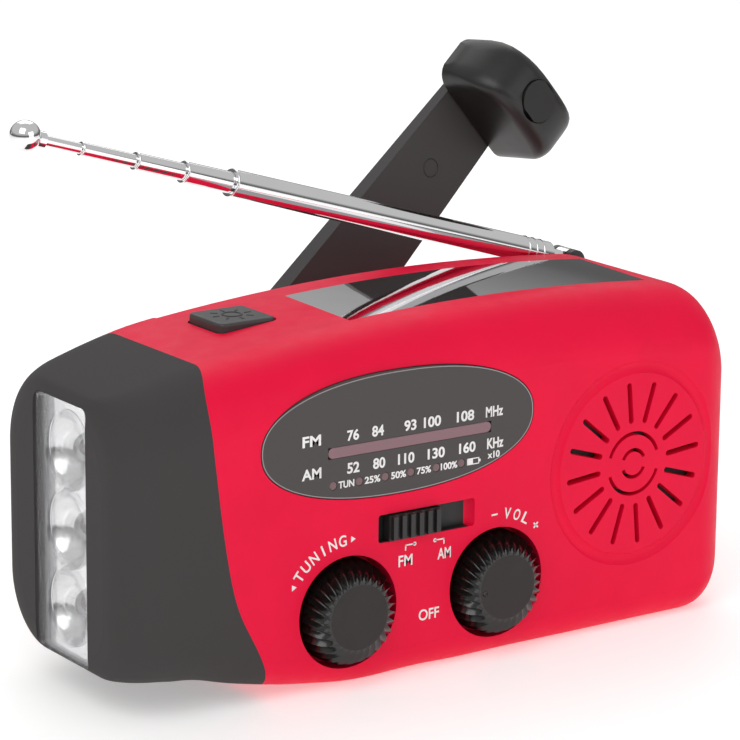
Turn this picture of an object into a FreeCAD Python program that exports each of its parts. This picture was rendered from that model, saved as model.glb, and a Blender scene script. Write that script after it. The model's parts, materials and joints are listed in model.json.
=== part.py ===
import FreeCAD, Part
import math
import os
import sys

import Sketcher
from FreeCAD import Placement, Rotation, Vector

sys.path.append(os.path.join(FreeCAD.getHomePath(), "Mod", "PartDesign"))
from fcgear import fcgear, involute

# A hand-cranked emergency radio: two hollow case shells and a rubber torch head, with a dial, a band
# slider and two fluted knobs on the front, a lamp button and a solar window on top, and a folding
# crank and a telescopic antenna at the rear.
#
# Frame, in millimetres: +X runs from the torch to the loudspeaker, the front face looks towards -Y,
# +Z is up. The origin is the middle of the flat base.

document = FreeCAD.newDocument("emergency_radio")
sheet = document.addObject("Spreadsheet::Sheet", "sizes")

DIMENSIONS = {
    # case
    "body_length": 130.0,
    "body_depth": 45.0,
    "body_height": 62.3,
    "wall": 2.2,
    "parting_depth": 4.3,
    # torch
    "lens_width": 17.4,
    "lens_height": 45.0,
    "lens_thickness": 1.5,
    "bowl_radius": 6.6,
    "bowl_pitch": 13.65,
    "lamp_radius": 2.5,
    # dial
    "dial_half_length": 28.2,
    "dial_half_height": 10.8,
    "dial_thickness": 1.4,
    "slot_length": 34.0,
    "slot_height": 2.0,
    "indicator_radius": 0.7,
    "indicator_pitch": 5.33,
    # band slider
    "slider_length": 10.8,
    "slider_height": 4.4,
    "slider_thickness": 1.9,
    "slider_travel": 6.2,
    # knobs
    "knob_radius": 9.3,
    "knob_face_radius": 5.9,
    "knob_height": 8.2,
    "flutes": 30.0,
    "well_radius": 10.0,
    "shaft_radius": 2.0,
    "tuning_x": -21.6,
    "volume_x": 9.7,
    "knob_z": 13.5,
    # loudspeaker
    "speaker_x": 40.1,
    "speaker_z": 30.5,
    "grille_radius": 16.6,
    "magnet_radius": 9.0,
    "magnet_height": 7.0,
    # top
    "button_length": 11.4,
    "button_depth": 11.2,
    "button_height": 4.6,
    "button_flange": 0.8,
    "window_thickness": 1.2,
    "panel_length": 62.0,
    "panel_depth": 20.0,
    "panel_thickness": 0.8,
    # gears
    "tooth_module": 0.6,
    "wheel_teeth": 36.0,
    "pinion_teeth": 12.0,
    "dial_pinion_teeth": 21.0,
    "gear_width": 2.6,
    "gear_centres": 14.5,
    # crank
    "hub_x": -1.5,
    "hub_z": 43.5,
    "hub_radius": 10.5,
    "hub_thickness": 2.7,
    "crank_shaft_radius": 2.5,
    "crank_angle": 40.1,
    "crank_lean": 8.0,
    "crank_pin_radius": 1.0,
    "arm_thickness": 4.4,
    "arm_tip_thickness": 2.5,
    "arm_length": 74.0,
    "grip_centre": 68.3,
    "grip_length": 24.4,
    "grip_width": 11.6,
    "grip_height": 15.2,
    "axle_radius": 2.2,
    "cap_radius": 4.0,
    # antenna
    "antenna_x": 56.4,
    "antenna_y": 19.2,
    "antenna_z": 58.6,
    "antenna_rise": 16.45,
    "tube_radius": 2.5,
    "tip_radius": 2.75,
    # inside
    "board_thickness": 1.6,
    "cell_radius": 5.2,
    "cell_length": 44.0,
    "rod_radius": 3.5,
    "rod_length": 52.0,
    "screw_radius": 1.25,
    "screw_head_radius": 2.4,
}

for row, (alias, value) in enumerate(DIMENSIONS.items(), start=1):
    sheet.set(f"A{row}", alias)
    sheet.set(f"B{row}", str(value))
    sheet.setAlias(f"B{row}", alias)
document.recompute()


def size(alias):
    """The value that the sheet holds for an alias."""
    return float(sheet.get(alias))


UP = Vector(0, 0, 1)
REARWARD = Vector(0, 1, 0)
RIGHTWARD = Vector(1, 0, 0)
UPRIGHT = Rotation()
# turns a local Z so that it comes out of the front face, with local Y upwards
FACING_FRONT = Rotation(RIGHTWARD, 90)
# turns a local Z so that it goes back into the case
FACING_REAR = Rotation(RIGHTWARD, -90)
# turns a local Z so that it points along the case
FACING_RIGHT = Rotation(REARWARD, 90)

HALF_LENGTH = size("body_length") / 2
HALF_DEPTH = size("body_depth") / 2
WALL = size("wall")
PARTING = size("parting_depth")
FRONT = -HALF_DEPTH
INNER_FRONT = FRONT + WALL
INNER_REAR = HALF_DEPTH - WALL
KNOB_Z = size("knob_z")
TUNING_X = size("tuning_x")
VOLUME_X = size("volume_x")
SPEAKER_X = size("speaker_x")
SPEAKER_Z = size("speaker_z")
DIAL_X = -11.0
DIAL_Z = 43.8
LENS_Y = -0.4
LENS_Z = 29.5

parts = []


# ------------------------------------------------------------------ ways of making a sub-part


def keep(item, label):
    """Names a finished sub-part and puts it on the list that is written out."""
    item.Label = label
    parts.append(item)
    return item


def feature(label, shape):
    """A sub-part whose shape is worked out with solid modelling functions."""
    item = document.addObject("Part::Feature", label)
    item.Shape = shape
    return keep(item, label)


def block(name, length, width, height, corner):
    """A box; its three sizes are expressions on the sheet."""
    item = document.addObject("Part::Box", name)
    item.setExpression("Length", length)
    item.setExpression("Width", width)
    item.setExpression("Height", height)
    item.Placement = Placement(Vector(*corner), UPRIGHT)
    return item


def rod(name, radius, height, base, rotation=UPRIGHT):
    """A cylinder; its radius and height are expressions on the sheet."""
    item = document.addObject("Part::Cylinder", name)
    item.setExpression("Radius", radius)
    item.setExpression("Height", height)
    item.Placement = Placement(Vector(*base), rotation)
    return item


def fused(name, *items):
    """Several objects joined into one."""
    item = document.addObject("Part::MultiFuse", name)
    item.Shapes = list(items)
    return item


def taken_out(name, base, tool):
    """One object with another taken out of it."""
    item = document.addObject("Part::Cut", name)
    item.Base = base
    item.Tool = tool
    return item


def make_body(label, position, rotation=UPRIGHT):
    """An empty PartDesign body, placed."""
    body = document.addObject("PartDesign::Body", label)
    body.Placement = Placement(Vector(*position), rotation)
    return keep(body, label)


def sketch_in(body, name, height=0.0, role="XY_Plane"):
    """An empty sketch on one of the body's own origin planes, raised by a height."""
    sketch = body.newObject("Sketcher::SketchObject", name)
    plane = next(item for item in body.Origin.OriginFeatures if item.Role == role)
    sketch.AttachmentSupport = [(plane, "")]
    sketch.MapMode = "FlatFace"
    sketch.AttachmentOffset = Placement(Vector(0, 0, height), UPRIGHT)
    return sketch


def add_circle(sketch, radius, centre=(0.0, 0.0)):
    """A circle whose radius is an expression on the sheet."""
    index = sketch.addGeometry(Part.Circle(Vector(*centre, 0), UP, 1.0), False)
    number = sketch.addConstraint(Sketcher.Constraint("Radius", index, 1.0))
    sketch.setExpression(f"Constraints[{number}]", radius)


def add_outline(sketch, points):
    """A closed outline of straight lines through points."""
    first = sketch.GeometryCount
    count = len(points)
    for here, there in zip(points, points[1:] + points[:1]):
        sketch.addGeometry(Part.LineSegment(Vector(*here, 0), Vector(*there, 0)), False)
    for step in range(count):
        after = first + (step + 1) % count
        sketch.addConstraint(Sketcher.Constraint("Coincident", first + step, 2, after, 1))


def add_rectangle(sketch, length, height, centre=(0.0, 0.0)):
    """A rectangle about a centre; its two sizes are expressions on the sheet."""
    x, y = centre
    add_outline(sketch, [(x - 1, y - 1), (x + 1, y - 1), (x + 1, y + 1), (x - 1, y + 1)])
    first = sketch.GeometryCount - 4
    for side in (0, 2):
        sketch.addConstraint(Sketcher.Constraint("Horizontal", first + side))
    for side in (1, 3):
        sketch.addConstraint(Sketcher.Constraint("Vertical", first + side))
    bound = {
        sketch.addConstraint(Sketcher.Constraint("DistanceX", first, 1, first, 2, 2.0)): length,
        sketch.addConstraint(Sketcher.Constraint("DistanceY", first + 1, 1, first + 1, 2, 2.0)): height,
        sketch.addConstraint(
            Sketcher.Constraint("DistanceX", -1, 1, first, 1, x - 1)
        ): f"{x} - ({length}) / 2",
        sketch.addConstraint(
            Sketcher.Constraint("DistanceY", -1, 1, first, 1, y - 1)
        ): f"{y} - ({height}) / 2",
    }
    for number, expression in bound.items():
        sketch.setExpression(f"Constraints[{number}]", expression)


def pad(body, name, sketch, length, reverse=False):
    """A pad of a sketch; its length is an expression on the sheet."""
    item = body.newObject("PartDesign::Pad", name)
    item.Profile = sketch
    item.setExpression("Length", length)
    item.Reversed = reverse
    body.Tip = item
    document.recompute()
    return item


def pocket(body, name, sketch, length, reverse=False):
    """A pocket of a sketch; its depth is an expression on the sheet."""
    item = body.newObject("PartDesign::Pocket", name)
    item.Profile = sketch
    item.setExpression("Length", length)
    item.Reversed = reverse
    body.Tip = item
    document.recompute()
    return item


def revolved(body, name, points):
    """A full turn of an outline, given as radius and height, about the body's own Z axis."""
    sketch = sketch_in(body, name + "_profile", role="XZ_Plane")
    add_outline(sketch, points)
    item = body.newObject("PartDesign::Revolution", name)
    item.Profile = sketch
    item.ReferenceAxis = (sketch, ["V_Axis"])
    item.Angle = 360
    body.Tip = item
    document.recompute()
    return item


def repeated_round(body, name, original, count):
    """Copies of a feature round the body's own Z axis."""
    axis = next(item for item in body.Origin.OriginFeatures if item.Role == "Z_Axis")
    item = body.newObject("PartDesign::PolarPattern", name)
    item.Originals = [original]
    item.Axis = (axis, [""])
    item.Angle = 360
    item.setExpression("Occurrences", count)
    body.Tip = item
    document.recompute()
    return item


def cylinder(radius, base, length, direction=REARWARD):
    """A plain cylinder shape, for cutting and joining."""
    return Part.makeCylinder(radius, length, Vector(*base), direction)


def box(low, high):
    """A plain box shape between two corners."""
    return Part.makeBox(high[0] - low[0], high[1] - low[1], high[2] - low[2], Vector(*low))


def rounded_box(low, high, radius, direction):
    """A box shape with its edges along one direction rounded."""
    shape = box(low, high)
    edges = [
        edge
        for edge in shape.Edges
        if abs(edge.tangentAt(edge.FirstParameter).dot(direction)) > 0.99
    ]
    return shape.makeFillet(radius, edges)


def upright_prism(points, low, high):
    """A prism over a closed plan outline."""
    ring = [Vector(x, y, low) for x, y in points]
    return Part.Face(Part.makePolygon(ring + ring[:1])).extrude(Vector(0, 0, high - low))


def joined(first, *rest):
    """One shape from several."""
    return first.multiFuse(list(rest)).removeSplitter()


def interpolated(points, x):
    """The value at x of a broken line through points."""
    for (left, low), (right, high) in zip(points, points[1:]):
        if x <= right:
            return low + (high - low) * (x - left) / (right - left)
    return points[-1][1]


# ------------------------------------------------------------------ the outside of the case

ARCH_MIDDLE = 15.0
ARCH_RADIUS = 415.0
HEAD_START = -44.0
BELLY = [(-65, 6.3), (-58, 6.0), (-50, 5.2), (-40, 2.8), (-30, 0.9), (-20, -0.3), (65, -0.3)]
STATIONS = [
    -65, -64.8, -64.4, -63.8, -63, -62, -60.5, -59, -57.5, -56, -53, -50, -46, -42, -37, -32, -26,
    -20, -10, 0, 12, 24, 36, 44, 49, 52, 54, 56, 58, 59.8, 61.4, 62.7, 63.7, 64.4, 64.8, 65,
]  # fmt: skip


def arch_height(x):
    """Height of the arched top at a station along the case."""
    if x >= HEAD_START:
        return size("body_height") - (x - ARCH_MIDDLE) ** 2 / (2 * ARCH_RADIUS)
    beyond = HEAD_START - x
    return arch_height(HEAD_START) - 0.155 * beyond - 0.0033 * beyond**2


def rounding(distance, radius):
    """How far a corner of this radius has drawn in at a distance from the end."""
    if distance >= radius:
        return 0.0
    return radius - math.sqrt(max(radius**2 - (radius - max(distance, 0.0)) ** 2, 0.0))


def case_section(x, inset):
    """The rounded outline of the case across a station, drawn in by an inset."""
    to_right = HALF_LENGTH - inset - x
    to_left = HALF_LENGTH - inset + x
    tight = 2.4 - inset / 2
    half = HALF_DEPTH - inset
    half -= max(rounding(to_right, 9 - inset), rounding(to_left, 8 - inset))
    top = arch_height(x) - inset - max(rounding(to_right, 12 - inset), rounding(to_left, tight))
    low = interpolated(BELLY, x) + inset
    low += max(rounding(to_right, 11 - inset), rounding(to_left, tight))
    headward = min(max((-40 - x) / 25, 0.0), 1.0)
    corners = [
        (half, low, -1, 1, 5 + 7 * headward, -90),
        (half, top, -1, -1, 7 + 6 * headward, 0),
        (-half, top, 1, -1, 11, 90),
        (-half, low, 1, 1, 5 + 3 * headward, 180),
    ]
    edges = []
    previous = None
    first = None
    for y, z, inward, upward, radius, start in corners:
        bend = radius - inset / 2
        centre = Vector(x, y + inward * bend, z + upward * bend)
        arc = [
            centre + Vector(0, math.cos(angle), math.sin(angle)) * bend
            for angle in (math.radians(start + turn) for turn in (0, 45, 90))
        ]
        if previous:
            edges.append(Part.LineSegment(previous, arc[0]).toShape())
        edges.append(Part.Arc(*arc).toShape())
        first = first or arc[0]
        previous = arc[2]
    edges.append(Part.LineSegment(previous, first).toShape())
    return Part.Wire(edges)


def case_solid(inset=0.0):
    """The filled outside of the case, drawn in by an inset, standing on a flat base."""
    end = HALF_LENGTH - inset
    stations = [-end] + [x for x in STATIONS if -end + 0.15 < x < end - 0.15] + [end]
    solid = Part.makeLoft([case_section(x, inset) for x in stations], True, False)
    return solid.common(box((-80, -40, inset), (80, 40, 80)))


outside = case_solid()
cavity = case_solid(WALL)
under_window = case_solid(size("window_thickness"))
wall_shell = outside.cut(cavity)

head_border = Part.BSplineCurve()
head_border.interpolate([
    Vector(x, -40, z)
    for x, z in (
        (-36.5, -3), (-37.6, 4), (-40, 10.3), (-43, 16.2), (-45.5, 25.3), (-46.9, 34.1),
        (-48, 42.8), (-48.6, 50.4), (-47.6, 55.2), (-45, 58.2), (-41, 60.4), (-36, 64),
    )
])  # fmt: skip
around_head = Part.makePolygon([
    head_border.EndPoint,
    Vector(-80, -40, 64),
    Vector(-80, -40, -3),
    head_border.StartPoint,
])
head_region = Part.Face(Part.Wire([head_border.toShape()] + around_head.Edges))
head_region = head_region.extrude(Vector(0, 80, 0))

red_shell = wall_shell.cut(head_region)
front_region = box((-80, -40, -5), (80, PARTING, 80))
rear_region = box((-80, PARTING, -5), (80, 40, 80))

SCREWS = [(-40.0, 52.6), (55.5, 46.0), (-34.5, 8.6), (57.0, 8.6)]
WINDOW = [(-12.9, 10.7), (-13.9, -11.0), (51.0, -11.0), (53.0, 10.7)]
WINDOW_OPENING = [(-10.8, 8.7), (-11.6, -9.0), (49.0, -9.0), (50.8, 8.7)]
INDICATORS = [-24.8 + step * size("indicator_pitch") for step in range(6)]
BUTTON_X = -28.0
BUTTON_Y = 4.3

window_recess = upright_prism(WINDOW, 50, 70).cut(under_window)
window_opening = upright_prism(WINDOW_OPENING, 50, 70)
button_opening = rounded_box(
    (BUTTON_X - 6, BUTTON_Y - 5.9, 50), (BUTTON_X + 6, BUTTON_Y + 5.9, 70), 1.6, UP
)
top_openings = [window_recess, window_opening, button_opening]


def oval_curve(half_length, half_height, depth=0.0):
    """A closed oval, a little squarer than an ellipse, about the middle of the dial."""
    points = []
    for step in range(40):
        angle = 2 * math.pi * step / 40
        across = math.copysign(abs(math.cos(angle)) ** 0.9, math.cos(angle))
        upward = math.copysign(abs(math.sin(angle)) ** 0.9, math.sin(angle))
        points.append(Vector(half_length * across, half_height * upward, depth))
    curve = Part.BSplineCurve()
    curve.interpolate(points, PeriodicFlag=True)
    return curve


def stadium(length, height, thickness):
    """A flat bar with round ends, about the origin, rising along Z."""
    radius = height / 2
    reach = length / 2 - radius
    bar = Part.makeBox(2 * reach, height, thickness, Vector(-reach, -radius, 0))
    ends = [Part.makeCylinder(radius, thickness, Vector(x, 0, 0)) for x in (-reach, reach)]
    return joined(bar, *ends)


# ------------------------------------------------------------------ front shell


def grille_cuts():
    """Radial and curved slots of the loudspeaker grille, with the ring groove round them."""
    cuts = []
    for step in range(16):
        angle = math.radians(5.5 + 22.5 * step)
        slot = stadium(7.6, 1.05, 6)
        slot.Placement = Placement(
            Vector(SPEAKER_X, -17, SPEAKER_Z), FACING_FRONT
        ) * Placement(
            Vector(11.3 * math.cos(angle), 11.3 * math.sin(angle), 0),
            Rotation(UP, math.degrees(angle)),
        )
        cuts.append(slot)
    for radius, spread in ((5.6, 72), (2.5, 68)):
        for middle in (90, 270):
            arc = Part.makeCylinder(radius + 0.35, 6, Vector(), UP, 2 * spread)
            arc = arc.cut(Part.makeCylinder(radius - 0.35, 6))
            arc.Placement = Placement(
                Vector(SPEAKER_X, -17, SPEAKER_Z), FACING_FRONT
            ) * Placement(Vector(), Rotation(UP, middle - spread))
            cuts.append(arc)
    ring_centre = Vector(SPEAKER_X, FRONT - 1.0, SPEAKER_Z)
    ring = Part.makeTorus(size("grille_radius") + 1.1, 1.5, ring_centre, REARWARD)
    return cuts + [ring]


def knob_well(x):
    """The cup behind a knob, and the hollow that is cut for it."""
    radius = size("well_radius")
    cup = cylinder(radius + 1.2, (x, -22.4, KNOB_Z), 5.6).common(outside)
    hollow = cylinder(radius, (x, -30, KNOB_Z), 12.5)
    hole = cylinder(size("shaft_radius") + 0.3, (x, -20, KNOB_Z), 6)
    return cup, hollow.fuse(hole)


cups, hollows = zip(*(knob_well(x) for x in (TUNING_X, VOLUME_X)))
front_posts = [cylinder(2.9, (x, -21.2, z), PARTING + 21.2).common(outside) for x, z in SCREWS]
switch_backing = box((-18, -21, 23.4), (7.2, -19.3, 31))
front_solid = joined(red_shell.common(front_region), *cups, *front_posts, switch_backing)
dial_recess = Part.Face(Part.Wire(oval_curve(28.35, 10.95).toShape())).extrude(Vector(0, 0, 5))
dial_recess.Placement = Placement(Vector(DIAL_X, -21.1, DIAL_Z), FACING_FRONT)
needle_opening = box((-27.4, -24, 39.4), (10.4, -18, 44.4))
switch_recess = rounded_box((-15.5, -24, 24.65), (4.8, -20.9, 29.65), 0.6, REARWARD)
stem_slot = box((-9.6, -24, 26.1), (-0.4, -18, 28.2))
front_cuts = [
    dial_recess,
    needle_opening,
    switch_recess,
    stem_slot,
    *hollows,
    *(cylinder(0.95, (x, -24, 36.3), 6) for x in INDICATORS),
    *(cylinder(1.3, (x, -8, z), 20) for x, z in SCREWS),
    *grille_cuts(),
    *top_openings,
]
feature("front_shell", front_solid.cut(front_cuts))

# ------------------------------------------------------------------ rear shell

ANTENNA_X = size("antenna_x")
ANTENNA_Y = size("antenna_y")
ANTENNA_Z = size("antenna_z")
HUB_X = size("hub_x")
HUB_Z = size("hub_z")
LEDGE_Y = 16.1
LEDGE_Z = 55.3
COVER_X = 37.65
COVER_Y = 21.85

ledge_lining = box((-37.5, LEDGE_Y - 1.5, LEDGE_Z - 1.5), (62, 23, 64)).common(outside)
pocket_lining = cylinder(6.2, (ANTENNA_X, ANTENNA_Y, 51), 14, UP).common(outside)
rear_posts = [cylinder(2.9, (x, PARTING, z), 21.5 - PARTING) for x, z in SCREWS]
crank_boss = cylinder(11, (HUB_X, 21.5, HUB_Z), 3.5)
port_backing = box((34.5, 18.8, 5.8), (54.5, 21.5, 18.6))
rear_solid = joined(
    red_shell.common(rear_region),
    ledge_lining,
    pocket_lining,
    crank_boss,
    port_backing,
    *rear_posts,
)
ledge = rounded_box((-36, LEDGE_Y, LEDGE_Z), (70, 40, 80), 3.0, RIGHTWARD)
rear_cuts = [
    ledge,
    cylinder(4.6, (ANTENNA_X, ANTENNA_Y, 52.5), 20, UP),
    cylinder(size("crank_shaft_radius") + 0.08, (HUB_X, 15, HUB_Z), 15),
    rounded_box((36.7, 21.0, 7.7), (52.3, 30, 17.3), 0.8, REARWARD),
    cylinder(0.48, (COVER_X, COVER_Y, 6.8), 11.4, UP),
    rounded_box((38.6, 15, 10.9), (46.4, 25, 13.9), 0.8, REARWARD),
    cylinder(1.9, (49.4, 15, 12.4), 10),
    *(cylinder(1.45, (x, 0, z), 30) for x, z in SCREWS),
    *(cylinder(2.7, (x, 20.6, z), 5) for x, z in SCREWS),
    *top_openings,
]
feature("rear_shell", rear_solid.cut(rear_cuts))

# ------------------------------------------------------------------ torch

LENS_END = -HALF_LENGTH
half_lens_width = size("lens_width") / 2
half_lens_height = size("lens_height") / 2
lens_low = (LENS_END - 2, LENS_Y - half_lens_width - 0.1, LENS_Z - half_lens_height - 0.1)
lens_high = (-56.0, LENS_Y + half_lens_width + 0.1, LENS_Z + half_lens_height + 0.1)
lens_opening = rounded_box(lens_low, lens_high, 1.7, RIGHTWARD)
feature("torch_head", wall_shell.common(head_region).cut(lens_opening))

lens_shape = rounded_box(
    (0, -half_lens_width, -half_lens_height),
    (size("lens_thickness"), half_lens_width, half_lens_height),
    1.6,
    RIGHTWARD,
)
lens_item = feature("torch_lens", lens_shape)
lens_item.Placement = Placement(Vector(-64.4, LENS_Y, LENS_Z), UPRIGHT)

reflector = rounded_box(
    (-62.9, LENS_Y - half_lens_width, LENS_Z - half_lens_height),
    (-56.1, LENS_Y + half_lens_width, LENS_Z + half_lens_height),
    1.6,
    RIGHTWARD,
)
LAMP_HEIGHTS = [LENS_Z + step * size("bowl_pitch") for step in (-1, 0, 1)]
bowls = []
for lamp_z in LAMP_HEIGHTS:
    bowl_edge = Part.makeCone(size("bowl_radius"), 5.2, 3.0, Vector(-63, LENS_Y, lamp_z), RIGHTWARD)
    bowl_middle = Part.makeCone(5.2, 2.8, 2.7, Vector(-60, LENS_Y, lamp_z), RIGHTWARD)
    lamp_hole = cylinder(2.8, (-57.4, LENS_Y, lamp_z), 2, RIGHTWARD)
    bowls += [bowl_edge, bowl_middle, lamp_hole]
feature("torch_reflector", reflector.cut(bowls))

lamps = []
for lamp_z in LAMP_HEIGHTS:
    stem = cylinder(size("lamp_radius"), (-59.4, LENS_Y, lamp_z), 3.3, RIGHTWARD)
    dome = Part.makeSphere(size("lamp_radius"), Vector(-59.4, LENS_Y, lamp_z))
    lamps.append(joined(stem, dome))
feature("torch_leds", Part.makeCompound(lamps))

torch_board = block(
    "torch_board",
    "1.2",
    "sizes.lens_width - 2.4",
    "sizes.lens_height - 2.4",
    (-56.0, LENS_Y - half_lens_width + 1.2, LENS_Z - half_lens_height + 1.2),
)
keep(torch_board, "torch_board")

# ------------------------------------------------------------------ top of the case

feature("solar_window", window_recess.common(outside))

solar_cell = block(
    "solar_cell", "sizes.panel_length", "sizes.panel_depth", "sizes.panel_thickness", (-11.8, -10.1, 57.3)
)
keep(solar_cell, "solar_cell")

button = make_body("lamp_button", (BUTTON_X, BUTTON_Y, 55.7))
flange_outline = sketch_in(button, "flange_outline")
add_rectangle(flange_outline, "sizes.button_length + 1.8", "sizes.button_depth + 1.8")
pad(button, "flange", flange_outline, "sizes.button_flange")
cap_outline = sketch_in(button, "cap_outline", 0.8)
add_rectangle(cap_outline, "sizes.button_length", "sizes.button_depth")
cap_pad = pad(button, "cap", cap_outline, "sizes.button_height")
cap_edges = [
    f"Edge{number}"
    for number, edge in enumerate(cap_pad.Shape.Edges, start=1)
    if edge.BoundBox.ZMin > 0.7 and edge.BoundBox.ZLength > 1
]
cap_corners = button.newObject("PartDesign::Fillet", "cap_corners")
cap_corners.Base = (cap_pad, cap_edges)
cap_corners.Radius = 1.3
button.Tip = cap_corners
document.recompute()
rim_edges = [
    f"Edge{number}"
    for number, edge in enumerate(cap_corners.Shape.Edges, start=1)
    if edge.BoundBox.ZMin > 5.3
]
cap_rim = button.newObject("PartDesign::Fillet", "cap_rim")
cap_rim.Base = (cap_corners, rim_edges)
cap_rim.Radius = 0.6
button.Tip = cap_rim

switch_case = block("lamp_switch_case", "8", "8", "4", (BUTTON_X - 4, BUTTON_Y - 4, 49.1))
switch_plunger = rod("lamp_switch_plunger", "1.5", "1.2", (BUTTON_X, BUTTON_Y, 53.0))
keep(fused("lamp_switch", switch_case, switch_plunger), "lamp_switch")
lamp_board = block("lamp_board", "14", "12", "1.2", (BUTTON_X - 7, BUTTON_Y - 6, 47.9))
keep(lamp_board, "lamp_board")

# ------------------------------------------------------------------ dial

dial = make_body("dial_plate", (DIAL_X, -21.1, DIAL_Z), FACING_FRONT)
dial_outline = sketch_in(dial, "dial_outline")
dial_outline.addGeometry(
    oval_curve(size("dial_half_length"), size("dial_half_height")), False
)
pad(dial, "plate", dial_outline, "sizes.dial_thickness")
slot_outline = sketch_in(dial, "slot_outline", 1.4)
add_rectangle(slot_outline, "sizes.slot_length", "sizes.slot_height", (2.1, -1.8))
pocket(dial, "slot", slot_outline, "sizes.dial_thickness")
light_outline = sketch_in(dial, "light_outline", 1.4)
for light_x in INDICATORS:
    add_circle(light_outline, "sizes.indicator_radius + 0.08", (light_x - DIAL_X, 36.3 - DIAL_Z))
pocket(dial, "lights", light_outline, "sizes.dial_thickness")

lens_strip = block(
    "slot_lens",
    "sizes.slot_length - 0.1",
    "sizes.dial_thickness - 0.5",
    "sizes.slot_height - 0.1",
    (DIAL_X + 2.15 - 17.0, -22.35, DIAL_Z - 2.75),
)
keep(lens_strip, "slot_lens")

lights = [cylinder(size("indicator_radius"), (x, -22.4, 36.3), 3.6) for x in INDICATORS]
feature("indicator_leds", Part.makeCompound(lights))

# ------------------------------------------------------------------ band slider

slider = make_body("band_slider", (-8.2, -21.2, 27.15), FACING_FRONT)
slider_outline = sketch_in(slider, "slider_outline")
add_rectangle(slider_outline, "sizes.slider_length", "sizes.slider_height")
pad(slider, "slider_base", slider_outline, "sizes.slider_thickness")
stem_outline = sketch_in(slider, "stem_outline")
add_rectangle(stem_outline, "2", "1.3", (0.0, 0.0))
pad(slider, "stem", stem_outline, "4.2", reverse=True)
ridge_outline = sketch_in(slider, "ridge_outline", 1.9)
for step in range(6):
    add_rectangle(ridge_outline, "0.9", "sizes.slider_height - 0.3", (-4.5 + 1.8 * step, 0.0))
pad(slider, "ridges", ridge_outline, "0.7")

switch_box = box((-15, -17.8, 24.3), (5, -13.65, 31)).cut(
    box((-9.6, -18, 26.1), (-0.4, -15.2, 28.2))
)
feature("band_switch_body", switch_box)

# ------------------------------------------------------------------ knobs and their shafts


def make_knob(label, x):
    """A fluted knob with a flat disc on its front and a blind bore at its back."""
    knob = make_body(label, (x, -17.8, KNOB_Z), FACING_FRONT)
    foot = size("knob_radius")
    height = size("knob_height")
    revolved(knob, "turned", [
        (0, 0), (foot, 0), (foot, 1.2), (foot - 0.5, 3.4), (foot - 1.8, 6.6), (foot - 2.5, 7.6),
        (size("knob_face_radius"), height), (0, height),
    ])  # fmt: skip
    wide_end = sketch_in(knob, "flute_foot", -0.1)
    add_circle(wide_end, "0.62", (foot + 0.3, 0.0))
    narrow_end = sketch_in(knob, "flute_top", height + 0.1)
    add_circle(narrow_end, "0.5", (foot - 2.35, 0.0))
    flute = knob.newObject("PartDesign::SubtractiveLoft", "flute")
    flute.Profile = wide_end
    flute.Sections = [narrow_end]
    knob.Tip = flute
    document.recompute()
    repeated_round(knob, "flutes", flute, "sizes.flutes")
    bore_outline = sketch_in(knob, "bore_outline")
    add_circle(bore_outline, "sizes.shaft_radius + 0.02")
    pocket(knob, "bore", bore_outline, "sizes.knob_height - 0.9", reverse=True)
    return knob


make_knob("tuning_knob", TUNING_X)
volume_knob = make_knob("volume_knob", VOLUME_X)
dimple_outline = sketch_in(volume_knob, "dimple_outline", size("knob_height"))
add_circle(dimple_outline, "0.8", (-4.6, -0.3))
pocket(volume_knob, "dimple", dimple_outline, "0.4")

for shaft_label, shaft_x, shaft_length in (
    ("tuning_shaft", TUNING_X, "15.2"),
    ("volume_shaft", VOLUME_X, "17.5"),
):
    shaft = rod(shaft_label, "sizes.shaft_radius", shaft_length, (shaft_x, -24.9, KNOB_Z), FACING_REAR)
    keep(shaft, shaft_label)

capacitor = block("capacitor_case", "14", "8", "11", (TUNING_X - 7, -11.9, 8.0))
capacitor_bore = rod(
    "capacitor_bore", "sizes.shaft_radius + 0.08", "2.6", (TUNING_X, -12, KNOB_Z), FACING_REAR
)
keep(taken_out("tuning_capacitor", capacitor, capacitor_bore), "tuning_capacitor")

pot_case = rod("pot_case", "6.2", "6.5", (VOLUME_X, -11.9, KNOB_Z), FACING_REAR)
pot_bore = rod("pot_bore", "sizes.shaft_radius + 0.08", "5", (VOLUME_X, -12, KNOB_Z), FACING_REAR)
keep(taken_out("volume_potentiometer", pot_case, pot_bore), "volume_potentiometer")

# ------------------------------------------------------------------ gears


def gear_outline(teeth):
    """The closed outline of an involute spur gear with a little backlash."""
    builder = fcgear.FCWireBuilder()
    involute.CreateExternalGear(
        builder, size("tooth_module"), int(teeth), 20.0, True, 1.0, 1.25, 0.3, -0.14
    )
    return Part.Wire([curve.toShape() for curve in builder.wire])


def gear(teeth, bore, width, centre, rear, turned):
    """A spur gear: its rear face at a depth, its first tooth turned to an angle."""
    blank = Part.Face(gear_outline(teeth)).extrude(Vector(0, 0, width))
    shape = blank.cut(Part.makeCylinder(bore, width))
    spin = Placement(Vector(), Rotation(UP, turned))
    shape.Placement = Placement(Vector(centre[0], rear, centre[1]), FACING_FRONT) * spin
    return shape


def stepped(centre, distance, angle):
    """A point at a distance and an angle from another, as seen from the front."""
    turn = math.radians(angle)
    return centre[0] + distance * math.cos(turn), centre[1] + distance * math.sin(turn)


WHEEL = size("wheel_teeth")
PINION = size("pinion_teeth")
WIDTH = size("gear_width")
IDLER_ANGLE = -30.0
GENERATOR_ANGLE = 200.0
HUB = (HUB_X, HUB_Z)
IDLER = stepped(HUB, size("gear_centres"), IDLER_ANGLE)
GENERATOR = stepped(IDLER, size("gear_centres"), GENERATOR_ANGLE)
HALF_TOOTH = 180.0 / PINION

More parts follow.
